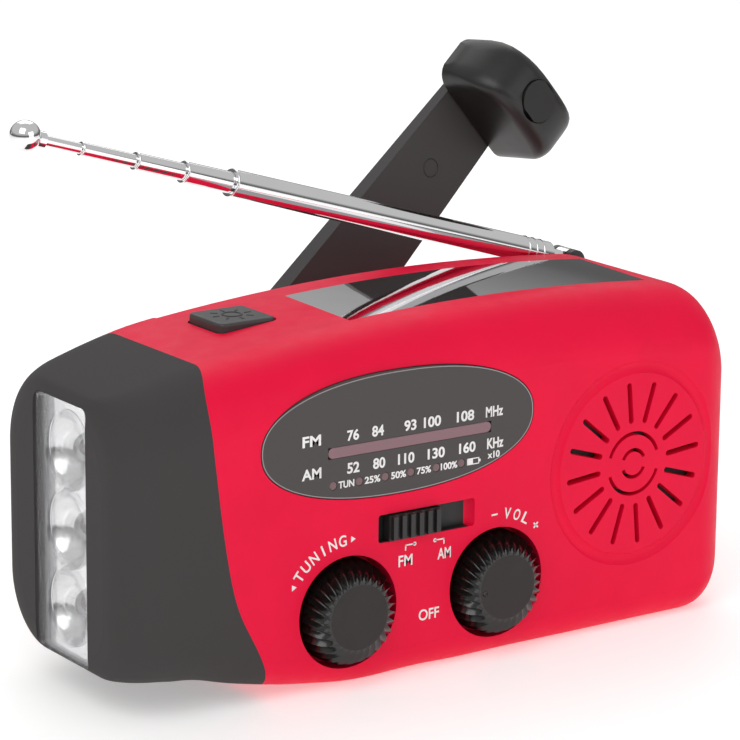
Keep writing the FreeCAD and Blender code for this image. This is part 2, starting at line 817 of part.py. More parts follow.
feature("crank_gear", gear(WHEEL, 2.52, WIDTH, HUB, 10.6, IDLER_ANGLE))
idler_pinion = gear(PINION, 1.27, 3.3, IDLER, 10.6, IDLER_ANGLE + 180 + HALF_TOOTH)
idler_wheel = gear(WHEEL, 1.27, WIDTH, IDLER, 7.3, GENERATOR_ANGLE)
feature("idler_gear", joined(idler_pinion, idler_wheel))
generator_gear = gear(PINION, 1.02, WIDTH, GENERATOR, 7.3, GENERATOR_ANGLE + 180 + HALF_TOOTH)
feature("generator_pinion", generator_gear)

keep(rod("idler_axle", "1.2", "9.4", (IDLER[0], 3.55, IDLER[1]), FACING_REAR), "idler_axle")
generator_shaft = rod("generator_shaft", "1.0", "14", (GENERATOR[0], -6.8, GENERATOR[1]), FACING_REAR)
keep(generator_shaft, "generator_shaft")
can = rod("generator_can", "7.5", "13.9", (GENERATOR[0], -10.5, GENERATOR[1]), FACING_REAR)
can_bore = rod("generator_bore", "1.09", "12", (GENERATOR[0], -7.2, GENERATOR[1]), FACING_REAR)
keep(taken_out("generator", can, can_bore), "generator")

PLATE_CORNERS = [(-16, 24.2), (25, 24.2), (25, 56.4), (-16, 56.4)]
PILLARS = [(-13.6, 26.6), (-13.6, 54), (22.6, 54), (22.6, 26.6)]


def gearbox_plate(label, front, thickness, holes):
    """A flat bearing plate with round holes."""
    plate = make_body(label, (0, front, 0), FACING_REAR)
    outline = sketch_in(plate, label + "_outline")
    add_outline(outline, [(x, -z) for x, z in PLATE_CORNERS])
    for (x, z), radius in holes:
        add_circle(outline, radius, (x, -z))
    pad(plate, label + "_pad", outline, thickness)
    return plate


shaft_hole = (HUB, "sizes.crank_shaft_radius + 0.08")
front_plate = gearbox_plate(
    "gearbox_front_plate", 3.5, "0.8", [shaft_hole, (IDLER, "1.22"), (GENERATOR, "1.4")]
)
pillar_outline = sketch_in(front_plate, "pillar_outline", 0.8)
for x, z in PILLARS:
    add_circle(pillar_outline, "1.5", (x, -z))
pad(front_plate, "pillars", pillar_outline, "7.45")
gearbox_plate("gearbox_rear_plate", 11.8, "1.2", [shaft_hole, (IDLER, "1.22")])

# ------------------------------------------------------------------ tuning pointer

TOOTH = math.pi * size("tooth_module")
DIAL_TEETH = size("dial_pinion_teeth")
PITCH_LINE = KNOB_Z + size("tooth_module") * DIAL_TEETH / 2 + 0.1
feature("tuning_pinion", gear(DIAL_TEETH, 2.02, 1.9, (TUNING_X, KNOB_Z), -14.35, 90.0))


def rack_outline(left, right, root, back, gap_x):
    """A straight rack with its teeth pointing down, one gap centred on a given x."""
    first = math.ceil((left + 1.2 - gap_x) / TOOTH - 0.5)
    last = math.floor((right - 1.2 - gap_x) / TOOTH - 0.5)
    points = [(left, back), (left, root)]
    for step in range(first, last + 1):
        middle = gap_x + (step + 0.5) * TOOTH
        points += [
            (middle - 0.68, root), (middle - 0.22, root - 1.3),
            (middle + 0.22, root - 1.3), (middle + 0.68, root),
        ]  # fmt: skip
    return points + [(right, root), (right, back)]


def front_panel(points, front, thickness):
    """A flat piece over an outline as seen from the front."""
    ring = [Vector(x, front, z) for x, z in points]
    return Part.Face(Part.makePolygon(ring + ring[:1])).extrude(Vector(0, thickness, 0))


rack = front_panel(rack_outline(-53, -18, PITCH_LINE + 0.72, 22.4, TUNING_X), -16.25, 1.5)
pointer = joined(
    rack,
    box((-53, -16.25, 21.0), (-50.4, -14.75, 47.4)),
    box((-53, -16.25, 45.0), (-21.2, -14.75, 47.4)),
    box((-22.2, -16.25, 40.6), (-21.2, -14.75, 46)),
    box((-22.1, -20.9, 40.8), (-21.3, -15, 43.4)),
)
feature("tuning_pointer", pointer)
rail = joined(
    box((-54, -17, 47.7), (9, -14.2, 49.2)),
    box((-28, -20.1, 47.7), (-25, -16, 49.2)),
    box((4, -20.1, 47.7), (7, -16, 49.2)),
)
feature("pointer_rail", rail)

# ------------------------------------------------------------------ loudspeaker

basket = make_body("speaker_frame", (SPEAKER_X, -20.1, SPEAKER_Z), FACING_REAR)
revolved(basket, "basket", [
    (15.6, 0), (17.5, 0), (17.5, 2.4), (16.6, 2.4), (10.4, 9.4), (9.1, 11.0), (4.5, 11.0),
    (4.5, 9.8), (8.6, 9.8), (15.6, 1.8),
])  # fmt: skip
cone = make_body("speaker_cone", (SPEAKER_X, -19.6, SPEAKER_Z), FACING_REAR)
revolved(cone, "paper", [
    (0, 3.6), (3.6, 4.4), (4.2, 5.4), (14.2, 0.6), (15.4, 0.6), (15.4, 1.0), (14.4, 1.2),
    (4.2, 6.4), (3.9, 8.6), (3.5, 8.6), (3.5, 5.2), (0, 4.2),
])  # fmt: skip
magnet = make_body("speaker_magnet", (SPEAKER_X, -9.1, SPEAKER_Z), FACING_REAR)
magnet_outline = sketch_in(magnet, "magnet_outline")
add_circle(magnet_outline, "sizes.magnet_radius")
pad(magnet, "magnet", magnet_outline, "sizes.magnet_height")

# ------------------------------------------------------------------ boards, cells and aerial rod

board = make_body("main_board", (0, -13.6, 0), FACING_REAR)
board_outline = sketch_in(board, "board_outline")
add_outline(board_outline, [
    (-41, -49), (-41, -13), (-30.5, -13), (-30.5, -6), (20, -6), (20, -49),
])
for hole_x in (TUNING_X, VOLUME_X):
    add_circle(board_outline, "sizes.shaft_radius + 0.3", (hole_x, -KNOB_Z))
pad(board, "board_pad", board_outline, "sizes.board_thickness")

CELLS = [(14.6, 8.4), (4.0, 8.4), (9.3, 17.6)]
cells = []
for cell_y, cell_z in CELLS:
    can_shape = cylinder(size("cell_radius"), (-22, cell_y, cell_z), size("cell_length") - 1.2, RIGHTWARD)
    stud = cylinder(1.6, (-22, cell_y, cell_z), size("cell_length"), RIGHTWARD)
    cells.append(joined(can_shape, stud))
feature("battery_cells", Part.makeCompound(cells))
holder = joined(
    box((-23.3, -1.4, 2.6), (-22.1, 16.0, 22.6)),
    box((22.1, -1.4, 2.6), (23.3, 16.0, 22.6)),
    box((-23.3, 0.5, 2.4), (23.3, 16.0, 3.1)),
)
feature("battery_holder", holder)

aerial_rod = rod("ferrite_rod", "sizes.rod_radius", "sizes.rod_length", (-32, -9.5, 53), FACING_RIGHT)
keep(aerial_rod, "ferrite_rod")
coil_outer = rod("coil_outer", "sizes.rod_radius + 0.6", "18", (-8, -9.5, 53), FACING_RIGHT)
coil_inner = rod("coil_inner", "sizes.rod_radius + 0.05", "20", (-9, -9.5, 53), FACING_RIGHT)
keep(taken_out("antenna_coil", coil_outer, coil_inner), "antenna_coil")

# ------------------------------------------------------------------ ports and screws

flap = rounded_box((COVER_X, 21.3, 8.0), (52.0, 22.4, 17.0), 0.4, RIGHTWARD)
cover = joined(
    flap,
    cylinder(0.6, (COVER_X, COVER_Y, 8.0), 9.0, UP),
    cylinder(0.4, (COVER_X, COVER_Y, 6.95), 11.1, UP),
    box((50.8, 22.0, 10.5), (52.0, 23.0, 14.5)),
)
feature("port_cover", cover)

sockets = joined(
    box((38.2, 11.6, 10.4), (46.8, 18.7, 14.4)),
    box((47.0, 11.6, 9.9), (51.8, 18.7, 14.9)),
    box((36, 10.4, 6), (53, 11.8, 18)),
)
sockets = sockets.cut([box((39, 13, 11.3), (46, 20, 13.5)), cylinder(1.7, (49.4, 13, 12.4), 10)])
feature("port_sockets", sockets)


def case_screw(x, z):
    """A pan-headed screw that enters from the rear, with a cross slot."""
    shank = cylinder(size("screw_radius"), (x, -6, z), 27)
    head = cylinder(size("screw_head_radius"), (x, 20.65, z), 1.5)
    head = head.makeFillet(0.5, [edge for edge in head.Edges if edge.BoundBox.YMin > 22])
    slots = [
        box((x - 1.4, 21.3, z - 0.25), (x + 1.4, 23, z + 0.25)),
        box((x - 0.25, 21.3, z - 1.4), (x + 0.25, 23, z + 1.4)),
    ]
    return joined(shank, head).cut(slots)


feature("case_screws", Part.makeCompound([case_screw(x, z) for x, z in SCREWS]))

# ------------------------------------------------------------------ crank

ANGLE = math.radians(size("crank_angle"))
LEAN = math.radians(size("crank_lean"))
ALONG = Vector(math.cos(ANGLE), 0, math.sin(ANGLE))
ACROSS = Vector(math.sin(ANGLE), 0, -math.cos(ANGLE))
PIN_Y = 31.0
LEANING = ALONG * math.cos(LEAN) + REARWARD * math.sin(LEAN)
# hub frame: X along the folded arm, Y along the pin, Z to the rear
HUB_TURN = Rotation(ALONG, ACROSS, REARWARD, "XYZ")
# arm frame: the same, leaning back
ARM_TURN = Rotation(LEANING, ACROSS, LEANING.cross(ACROSS), "XYZ")
PIN_CENTRE = Vector(HUB_X, PIN_Y, HUB_Z)
EAR_INNER = 4.3
EAR_OUTER = 7.0
EAR_RADIUS = 3.0
ARM_FRONT = -size("arm_thickness") / 2

hub = make_body("crank_hub", (HUB_X, 25.3, HUB_Z), HUB_TURN)
hub_outline = sketch_in(hub, "hub_outline")
add_circle(hub_outline, "sizes.hub_radius")
pad(hub, "hub_disc", hub_outline, "sizes.hub_thickness")
hub_bore = sketch_in(hub, "hub_bore_outline")
add_circle(hub_bore, "sizes.crank_shaft_radius + 0.02")
pocket(hub, "hub_bore", hub_bore, "sizes.hub_thickness", reverse=True)
for ear_name, ear_side in (("near", -EAR_OUTER), ("far", EAR_INNER)):
    ear_outline = sketch_in(hub, ear_name + "_ear_outline", ear_side, role="XZ_Plane")
    pin_height = PIN_Y - 25.3
    arc = Part.ArcOfCircle(Part.Circle(Vector(0, pin_height, 0), UP, EAR_RADIUS), 0, math.pi)
    ear_outline.addGeometry(arc, False)
    corners = [
        Vector(-EAR_RADIUS, pin_height, 0),
        Vector(-EAR_RADIUS, 2.0, 0),
        Vector(EAR_RADIUS, 2.0, 0),
        Vector(EAR_RADIUS, pin_height, 0),
    ]
    for here, there in zip(corners, corners[1:]):
        ear_outline.addGeometry(Part.LineSegment(here, there), False)
    add_circle(ear_outline, "sizes.crank_pin_radius + 0.02", (0.0, pin_height))
    pad(hub, ear_name + "_ear", ear_outline, f"{EAR_OUTER - EAR_INNER}")

crank_shaft = rod("crank_shaft", "sizes.crank_shaft_radius", "24.2", (HUB_X, 3.7, HUB_Z), FACING_REAR)
keep(crank_shaft, "crank_shaft")
pin_start = PIN_CENTRE - ACROSS * EAR_OUTER
crank_pin = rod(
    "crank_pin",
    "sizes.crank_pin_radius",
    "14",
    tuple(pin_start),
    Rotation(UP, ACROSS),
)
keep(crank_pin, "crank_pin")


def arm_shape():
    """The flat, tapering crank arm in its own frame, pin at the origin, front face towards -Z."""
    ends = []
    for x, half, rear in ((3.6, 9.65, 2.2), (size("arm_length"), 7.2, 0.3)):
        ring = [
            Vector(x, -half, ARM_FRONT),
            Vector(x, half, ARM_FRONT),
            Vector(x, half, rear),
            Vector(x, -half, rear),
        ]
        ends.append(Part.makePolygon(ring + ring[:1]))
    plate = Part.makeLoft(ends, True, True)
    upright = [
        edge
        for edge in plate.Edges
        if edge.BoundBox.ZLength > 1 and edge.BoundBox.XLength < 0.1 and edge.BoundBox.YLength < 0.1
    ]
    tip = [edge for edge in upright if edge.BoundBox.XMin > 40]
    plate = plate.makeFillet(5.5, tip)
    plate = plate.makeFillet(1.0, [
        edge for edge in plate.Edges if edge.BoundBox.XMax < 3.7 and edge.BoundBox.YLength < 0.1
    ])
    knuckle = Part.makeCylinder(2.7, 8, Vector(0, -4, 0), Vector(0, 1, 0))
    neck = Part.makeBox(5, 8, 4.4, Vector(0, -4, ARM_FRONT))
    bore = Part.makeCylinder(size("crank_pin_radius") + 0.08, 10, Vector(0, -5, 0), Vector(0, 1, 0))
    socket = Part.makeCylinder(size("axle_radius") + 0.02, 6, Vector(size("grip_centre"), 0, ARM_FRONT - 1))
    solid = joined(plate, knuckle, neck)
    return solid.cut([bore, socket])


arm = feature("crank_arm", arm_shape())
arm.Placement = Placement(PIN_CENTRE, ARM_TURN)

GRIP_X = size("grip_centre")
GRIP_BACK = ARM_FRONT - 0.3
GRIP_FRONT = GRIP_BACK - size("grip_height")


def grip_outline():
    """The grip seen along the arm: a thin foot, and a dome that slopes away at its inner end."""
    half = size("grip_length") / 2
    foot = GRIP_BACK - 2.4
    dome = Part.BSplineCurve()
    dome.interpolate([
        Vector(GRIP_X, -half + 0.5, foot),
        Vector(GRIP_X, -half * 0.79, foot - 7.0),
        Vector(GRIP_X, -half * 0.36, GRIP_FRONT + 0.35),
        Vector(GRIP_X, 0, GRIP_FRONT),
        Vector(GRIP_X, half * 0.36, GRIP_FRONT + 0.1),
        Vector(GRIP_X, half * 0.74, GRIP_FRONT + 1.1),
        Vector(GRIP_X, half * 0.92, GRIP_FRONT + 4.2),
        Vector(GRIP_X, half - 0.5, foot),
    ])
    base = [
        Vector(GRIP_X, half - 0.5, foot),
        Vector(GRIP_X, half, foot),
        Vector(GRIP_X, half, GRIP_BACK),
        Vector(GRIP_X, -half, GRIP_BACK),
        Vector(GRIP_X, -half, foot),
        Vector(GRIP_X, -half + 0.5, foot),
    ]
    return Part.Wire([dome.toShape(), *Part.makePolygon(base).Edges])


half_width = size("grip_width") / 2
grip_shape = Part.Face(grip_outline()).extrude(Vector(size("grip_width"), 0, 0))
grip_shape.translate(Vector(-half_width, 0, 0))
side_edges = [
    edge
    for edge in grip_shape.Edges
    if edge.BoundBox.XLength < 0.1 and edge.BoundBox.ZLength > 5
]
grip_shape = grip_shape.makeFillet(2.6, side_edges)
grip_shape = grip_shape.cut([
    Part.makeCylinder(size("axle_radius") + 0.08, 20, Vector(GRIP_X, 0, GRIP_FRONT - 1)),
    Part.makeCylinder(size("cap_radius") + 0.3, 2.3, Vector(GRIP_X, 0, GRIP_FRONT - 1)),
])
grip = feature("crank_knob", grip_shape)
grip.Placement = Placement(PIN_CENTRE, ARM_TURN)

cap_front = GRIP_FRONT - 0.1
cap_shape = Part.makeCylinder(size("cap_radius"), 1.1, Vector(GRIP_X, 0, cap_front))
cap_shape = cap_shape.common(box((GRIP_X - 3.6, -10, cap_front), (GRIP_X + 3.6, 10, cap_front + 2)))
axle_shape = Part.makeCylinder(size("axle_radius"), -0.3 - cap_front, Vector(GRIP_X, 0, cap_front))
axle = feature("crank_axle", joined(cap_shape, axle_shape))
axle.Placement = Placement(PIN_CENTRE, ARM_TURN)

# ------------------------------------------------------------------ antenna

RISE = math.radians(size("antenna_rise"))
OUTWARD = Vector(-math.cos(RISE), 0, math.sin(RISE))
PIVOT = Vector(ANTENNA_X, ANTENNA_Y, ANTENNA_Z)


def along_antenna(distance):
    """A point on the antenna's centre line."""
    return PIVOT + OUTWARD * distance


def antenna_piece(radius, start, end):
    """A plain length of the antenna."""
    return Part.makeCylinder(radius, end - start, along_antenna(start), OUTWARD)


def antenna_cheek(y):
    """One of the two ears that hold the antenna's pin, its front at a given depth."""
    low_corner = (ANTENNA_X - 2.2, y, 55.5)
    high_corner = (ANTENNA_X + 2.2, y + 1.2, ANTENNA_Z)
    return joined(box(low_corner, high_corner), cylinder(2.2, (ANTENNA_X, y, ANTENNA_Z), 1.2))


turntable = cylinder(4.1, (ANTENNA_X, ANTENNA_Y, 52.9), 3.0, UP)
post = joined(turntable, antenna_cheek(ANTENNA_Y - 3.0), antenna_cheek(ANTENNA_Y + 1.8))
pin_hole = cylinder(0.92, (ANTENNA_X, ANTENNA_Y - 4, ANTENNA_Z), 8)
feature("antenna_base", post.cut(pin_hole))
keep(rod("antenna_pin", "0.9", "6.2", (ANTENNA_X, ANTENNA_Y - 3.1, ANTENNA_Z), FACING_REAR), "antenna_pin")

lug = cylinder(2.2, (ANTENNA_X, ANTENNA_Y - 1.5, ANTENNA_Z), 3.0)
outer_tube = joined(
    lug,
    antenna_piece(1.45, 0, 6),
    antenna_piece(size("tube_radius"), 5, 78.7),
)
outer_tube = outer_tube.cut([
    cylinder(0.98, (ANTENNA_X, ANTENNA_Y - 4, ANTENNA_Z), 8),
    antenna_piece(2.0, 9.0, 80),
])
feature("antenna_tube", outer_tube)
for label, radius, bore, start, end in (
    ("antenna_section_2", 1.95, 1.6, 18.8, 88.8),
    ("antenna_section_3", 1.55, 1.25, 29.9, 98.9),
    ("antenna_section_4", 1.2, 1.0, 42.0, 110.0),
):
    feature(label, antenna_piece(radius, start, end).cut(antenna_piece(bore, start + 0.8, end + 1)))
feature("antenna_section_5", antenna_piece(0.95, 53.0, 117.4))


def tip_shape():
    """The ball and its collar, turned about the antenna's line, which is Z in its own frame."""
    ball, collar, middle = size("tip_radius"), 1.5, 121.0
    shoulder = middle - math.sqrt(ball**2 - collar**2)
    outline = Part.Wire([
        Part.makeLine(Vector(0, 0, 117.4), Vector(collar, 0, 117.4)),
        Part.makeLine(Vector(collar, 0, 117.4), Vector(collar, 0, shoulder)),
        Part.Arc(
            Vector(collar, 0, shoulder), Vector(ball, 0, middle), Vector(0, 0, middle + ball)
        ).toShape(),
        Part.makeLine(Vector(0, 0, middle + ball), Vector(0, 0, 117.4)),
    ])
    return Part.Face(outline).revolve(Vector(0, 0, 0), Vector(0, 0, 1), 360)


tip = feature("antenna_tip", tip_shape())
tip.Placement = Placement(PIVOT, Rotation(Vector(0, 0, 1), OUTWARD))

# ------------------------------------------------------------------ checks and export

document.recompute()
os.makedirs("parts", exist_ok=True)
for item in document.Objects:
    problems = [state for state in item.State if state in ("Invalid", "Error")]
    if problems:
        raise RuntimeError(f"{item.Label} is {problems}")
for item in parts:
    shape = item.Shape
    if shape.isNull() or not shape.isValid() or not shape.Solids:
        raise RuntimeError(f"{item.Label} has no good solid")
    shape.exportStep(f"parts/{item.Label}.step")
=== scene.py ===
import json
import logging
import math
from collections.abc import Callable, Iterator
from contextlib import contextmanager
from dataclasses import dataclass, field
from enum import Enum

import bmesh
import bpy
from mathutils import Matrix, Quaternion, Vector

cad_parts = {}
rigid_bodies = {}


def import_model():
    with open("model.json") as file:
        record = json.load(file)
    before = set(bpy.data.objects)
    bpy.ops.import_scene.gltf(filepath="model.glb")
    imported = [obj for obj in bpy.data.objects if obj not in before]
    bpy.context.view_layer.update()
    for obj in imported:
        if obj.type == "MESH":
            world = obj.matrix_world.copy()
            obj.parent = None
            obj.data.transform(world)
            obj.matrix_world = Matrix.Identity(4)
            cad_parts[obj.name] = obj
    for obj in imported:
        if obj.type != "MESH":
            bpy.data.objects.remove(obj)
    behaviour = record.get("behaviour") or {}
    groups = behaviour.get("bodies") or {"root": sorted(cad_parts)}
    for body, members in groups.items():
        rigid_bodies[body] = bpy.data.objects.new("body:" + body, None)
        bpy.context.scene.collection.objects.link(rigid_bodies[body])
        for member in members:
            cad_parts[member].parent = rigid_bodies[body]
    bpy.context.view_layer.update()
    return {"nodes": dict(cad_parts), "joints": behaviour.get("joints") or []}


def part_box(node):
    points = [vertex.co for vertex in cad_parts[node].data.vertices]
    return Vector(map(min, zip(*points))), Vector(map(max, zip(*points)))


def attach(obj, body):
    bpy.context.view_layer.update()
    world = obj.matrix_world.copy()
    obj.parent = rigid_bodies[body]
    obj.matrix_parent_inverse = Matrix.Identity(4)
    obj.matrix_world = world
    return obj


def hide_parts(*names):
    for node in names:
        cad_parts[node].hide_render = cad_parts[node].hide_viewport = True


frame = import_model()

log = logging.getLogger("emergency_radio")
MM = 0.001
Colour = tuple[float, float, float]
Point = tuple[float, float, float]


# ------------------------------------------------------------------ finishes


class Texture(Enum):
    """How a finish's surface is broken up."""

    GRAIN = "fine moulded grain"
    PEBBLE = "pebbled rubber"
    BRUSHED = "brushed along the case"
    TURNED = "polished metal with faint rings"
    BOARD = "printed circuit board"
    CELLS = "solar cells"


@dataclass(frozen=True)
class Finish:
    """A surface finish, made as a node material when it is first used."""

    name: str
    colour: Colour
    roughness: float = 0.5
    metallic: float = 0.0
    texture: Texture = Texture.GRAIN
    grain_size: float = 0.25
    grain_depth: float = 0.012
    mottle: float = 0.06
    coat: float = 0.0
    specular: float = 0.5
    transmission: float = 0.0
    alpha: float = 1.0
    second: Colour = (0.6, 0.45, 0.2)
    glow: float = 0.0

    def material(self) -> bpy.types.Material:
        """Finds the finish's material, and builds it if it isn't there yet.

        Returns:
            The node material.
        """
        found = bpy.data.materials.get(self.name)
        if found:
            return found
        made = bpy.data.materials.new(self.name)
        made.use_nodes = True
        tree = made.node_tree
        shader = tree.nodes["Principled BSDF"]
        shader.inputs["Roughness"].default_value = self.roughness
        shader.inputs["Metallic"].default_value = self.metallic
        shader.inputs["Coat Weight"].default_value = self.coat
        shader.inputs["Coat Roughness"].default_value = 0.12
        shader.inputs["Specular IOR Level"].default_value = self.specular
        shader.inputs["Transmission Weight"].default_value = self.transmission
        shader.inputs["Alpha"].default_value = self.alpha
        shader.inputs["Emission Color"].default_value = (1.0, 0.995, 0.99, 1)
        shader.inputs["Emission Strength"].default_value = self.glow
        place = tree.nodes.new("ShaderNodeTexCoord").outputs["Object"]
        self._colour(tree, place, shader)
        self._relief(tree, place, shader)
        return made

    def _noise(
        self, tree: bpy.types.NodeTree, place: bpy.types.NodeSocket, size: float, detail: float = 3.0
    ) -> bpy.types.Node:
        """Adds a noise texture.

        Args:
            tree: The material's node tree.
            place: The coordinates to read.
            size: The size of one blotch, in millimetres.
            detail: How many finer layers it has.

        Returns:
            The noise node.
        """
        noise = tree.nodes.new("ShaderNodeTexNoise")
        noise.inputs["Scale"].default_value = 1 / (size * MM)
        noise.inputs["Detail"].default_value = detail
        tree.links.new(place, noise.inputs["Vector"])
        return noise

    def _colour(
        self, tree: bpy.types.NodeTree, place: bpy.types.NodeSocket, shader: bpy.types.Node
    ) -> None:
        """Links a colour that varies a little over the surface, and the roughness with it.

        Args:
            tree: The material's node tree.
            place: The coordinates to read.
            shader: The surface shader.
        """
        ramp = tree.nodes.new("ShaderNodeValToRGB")
        low = [max(part * (1 - self.mottle), 0.0) for part in self.colour]
        high = [min(part * (1 + self.mottle), 1.0) for part in self.colour]
        ramp.color_ramp.elements[0].position = 0.3
        ramp.color_ramp.elements[0].color = (*low, 1)
        ramp.color_ramp.elements[1].position = 0.7
        ramp.color_ramp.elements[1].color = (*high, 1)
        if self.texture in (Texture.BOARD, Texture.CELLS):
            bricks = tree.nodes.new("ShaderNodeTexBrick")
            fine = self.texture is Texture.BOARD
            bricks.inputs["Scale"].default_value = 260 if fine else 60
            bricks.inputs["Mortar Size"].default_value = 0.012 if fine else 0.02
            bricks.inputs["Color1"].default_value = (*low, 1)
            bricks.inputs["Color2"].default_value = (*high, 1)
            bricks.inputs["Mortar"].default_value = (*self.second, 1)
            tree.links.new(place, bricks.inputs["Vector"])
            tree.links.new(bricks.outputs["Color"], shader.inputs["Base Color"])
            return
        cloud = self._noise(tree, place, 9.0)
        tree.links.new(cloud.outputs["Fac"], ramp.inputs["Fac"])
        tree.links.new(ramp.outputs["Color"], shader.inputs["Base Color"])
        wear = tree.nodes.new("ShaderNodeMapRange")
        wear.inputs["From Min"].default_value = 0.3
        wear.inputs["From Max"].default_value = 0.7
        wear.inputs["To Min"].default_value = self.roughness * 0.9
        wear.inputs["To Max"].default_value = min(self.roughness * 1.1, 1.0)
        tree.links.new(self._noise(tree, place, 3.0).outputs["Fac"], wear.inputs["Value"])
        tree.links.new(wear.outputs["Result"], shader.inputs["Roughness"])

    def _relief(
        self, tree: bpy.types.NodeTree, place: bpy.types.NodeSocket, shader: bpy.types.Node
    ) -> None:
        """Links the fine relief of the surface.

        Args:
            tree: The material's node tree.
            place: The coordinates to read.
            shader: The surface shader.
        """
        bump = tree.nodes.new("ShaderNodeBump")
        bump.inputs["Strength"].default_value = 0.5
        bump.inputs["Distance"].default_value = self.grain_depth * MM
        if self.texture is Texture.PEBBLE:
            pebbles = tree.nodes.new("ShaderNodeTexVoronoi")
            pebbles.inputs["Scale"].default_value = 1 / (self.grain_size * MM)
            tree.links.new(place, pebbles.inputs["Vector"])
            height = pebbles.outputs["Distance"]
        elif self.texture in (Texture.BRUSHED, Texture.TURNED):
            stretch = tree.nodes.new("ShaderNodeMapping")
            stretch.inputs["Scale"].default_value = (0.06, 1.0, 1.0)
            tree.links.new(place, stretch.inputs["Vector"])
            height = self._noise(tree, stretch.outputs["Vector"], self.grain_size).outputs["Fac"]
        else:
            height = self._noise(tree, place, self.grain_size).outputs["Fac"]
        tree.links.new(height, bump.inputs["Height"])
        tree.links.new(bump.outputs["Normal"], shader.inputs["Normal"])


SOFT_RED = Finish(
    "soft_touch_red", (0.84, 0.001, 0.045), 0.48, grain_size=0.12, mottle=0.03, specular=0.18
)
HEAD_RUBBER = Finish(
    "head_rubber", (0.0085, 0.0078, 0.0078), 0.55, specular=0.28, texture=Texture.PEBBLE, grain_size=0.3,
    grain_depth=0.02,
)  # fmt: skip
CLEAR_LENS = Finish(
    "clear_lens", (0.97, 0.98, 1.0), 0.03, grain_size=6, grain_depth=0.004, transmission=1.0,
    mottle=0.0, alpha=0.3,
)  # fmt: skip
SILVERED = Finish("silvered_bowl", (0.80, 0.80, 0.81), 0.16, 1.0, mottle=0.04)
LAMP_RESIN = Finish(
    "lamp_resin", (0.70, 0.71, 0.72), 0.05, grain_size=2.0, grain_depth=0.003, transmission=0.9
)
BOARD_GREEN = Finish(
    "board_green", (0.02, 0.13, 0.06), 0.35, texture=Texture.BOARD, second=(0.55, 0.40, 0.16)
)
WINDOW_GLASS = Finish(
    "window_glass", (0.62, 0.61, 0.62), 0.035, 1.0, grain_size=8, grain_depth=0.01, mottle=0.02
)
CELL_BLUE = Finish(
    "cell_blue", (0.02, 0.025, 0.07), 0.15, texture=Texture.CELLS, second=(0.6, 0.6, 0.62)
)
BUTTON_BLACK = Finish("button_black", (0.011, 0.010, 0.010), 0.45, grain_depth=0.02, specular=0.35)
SLIDER_BLACK = Finish("slider_black", (0.016, 0.0145, 0.014), 0.38, grain_size=0.15)
DULL_BLACK = Finish("dull_black", (0.03, 0.03, 0.03), 0.6)
DIAL_GREY = Finish(
    "dial_grey", (0.030, 0.025, 0.0245), 0.4, grain_size=0.1, grain_depth=0.004, specular=0.3
)
SLOT_MAUVE = Finish(
    "slot_mauve", (0.235, 0.122, 0.145), 0.3, grain_size=0.6, coat=0.3, mottle=0.08, alpha=0.78
)
POINTER_WHITE = Finish("pointer_white", (0.72, 0.68, 0.66), 0.4)
LIGHT_ROSE = Finish("light_rose", (0.16, 0.09, 0.10), 0.3, coat=0.3)
KNOB_GLOSS = Finish("knob_gloss", (0.007, 0.0065, 0.006), 0.2, grain_size=0.4, coat=0.25)
KNOB_MATT = Finish("knob_matt", (0.022, 0.019, 0.0175), 0.5, grain_size=0.12, specular=0.35)
STEEL = Finish("turned_steel", (0.56, 0.56, 0.57), 0.25, 1.0, Texture.BRUSHED, 0.1, 0.01)
SCREW_STEEL = Finish("screw_steel", (0.30, 0.30, 0.31), 0.3, 1.0, Texture.TURNED, 0.3, 0.01)
NYLON = Finish("gear_nylon", (0.78, 0.76, 0.70), 0.45, grain_size=0.4)
CAN_METAL = Finish("can_metal", (0.55, 0.56, 0.57), 0.35, 1.0, Texture.BRUSHED, 0.2, 0.01)
CONE_PAPER = Finish("cone_paper", (0.04, 0.04, 0.042), 0.8, grain_size=0.5, grain_depth=0.05)
FERRITE = Finish("ferrite", (0.07, 0.07, 0.075), 0.55, grain_size=0.3, grain_depth=0.03)
SLEEVE_GREEN = Finish("sleeve_green", (0.03, 0.22, 0.12), 0.3, grain_size=3.0, coat=0.4)
COPPER = Finish("copper_wire", (0.75, 0.30, 0.14), 0.3, 1.0, Texture.BRUSHED, 0.2, 0.03)
PLATED = Finish("plated", (0.62, 0.62, 0.60), 0.28, 1.0, Texture.BRUSHED, 0.15, 0.01)
CRANK_BLACK = Finish(
    "crank_black", (0.012, 0.011, 0.0105), 0.38, grain_size=0.22, grain_depth=0.035,
    specular=0.4,
)
GRIP_BLACK = Finish("grip_black", (0.012, 0.011, 0.0105), 0.34, grain_size=0.2, grain_depth=0.05)
CHROME = Finish(
    "chrome", (0.88, 0.88, 0.89), 0.05, 1.0, Texture.TURNED, 2.0, 0.002, mottle=0.02
)
PRINT_WHITE = Finish("print_white", (0.86, 0.85, 0.84), 0.5, grain_size=0.2)
PRINT_SILVER = Finish("print_silver", (0.30, 0.29, 0.29), 0.35, 0.6, grain_size=0.2)
TRAY_BLACK = Finish("tray_black", (0.008, 0.008, 0.008), 0.5)
ICON_GREY = Finish("icon_grey", (0.016, 0.015, 0.015), 0.35)
FLOOR_WHITE = Finish(
    "floor_white", (0.90, 0.895, 0.89), 0.6, grain_size=40, mottle=0.004, glow=0.36
)  # fmt: skip

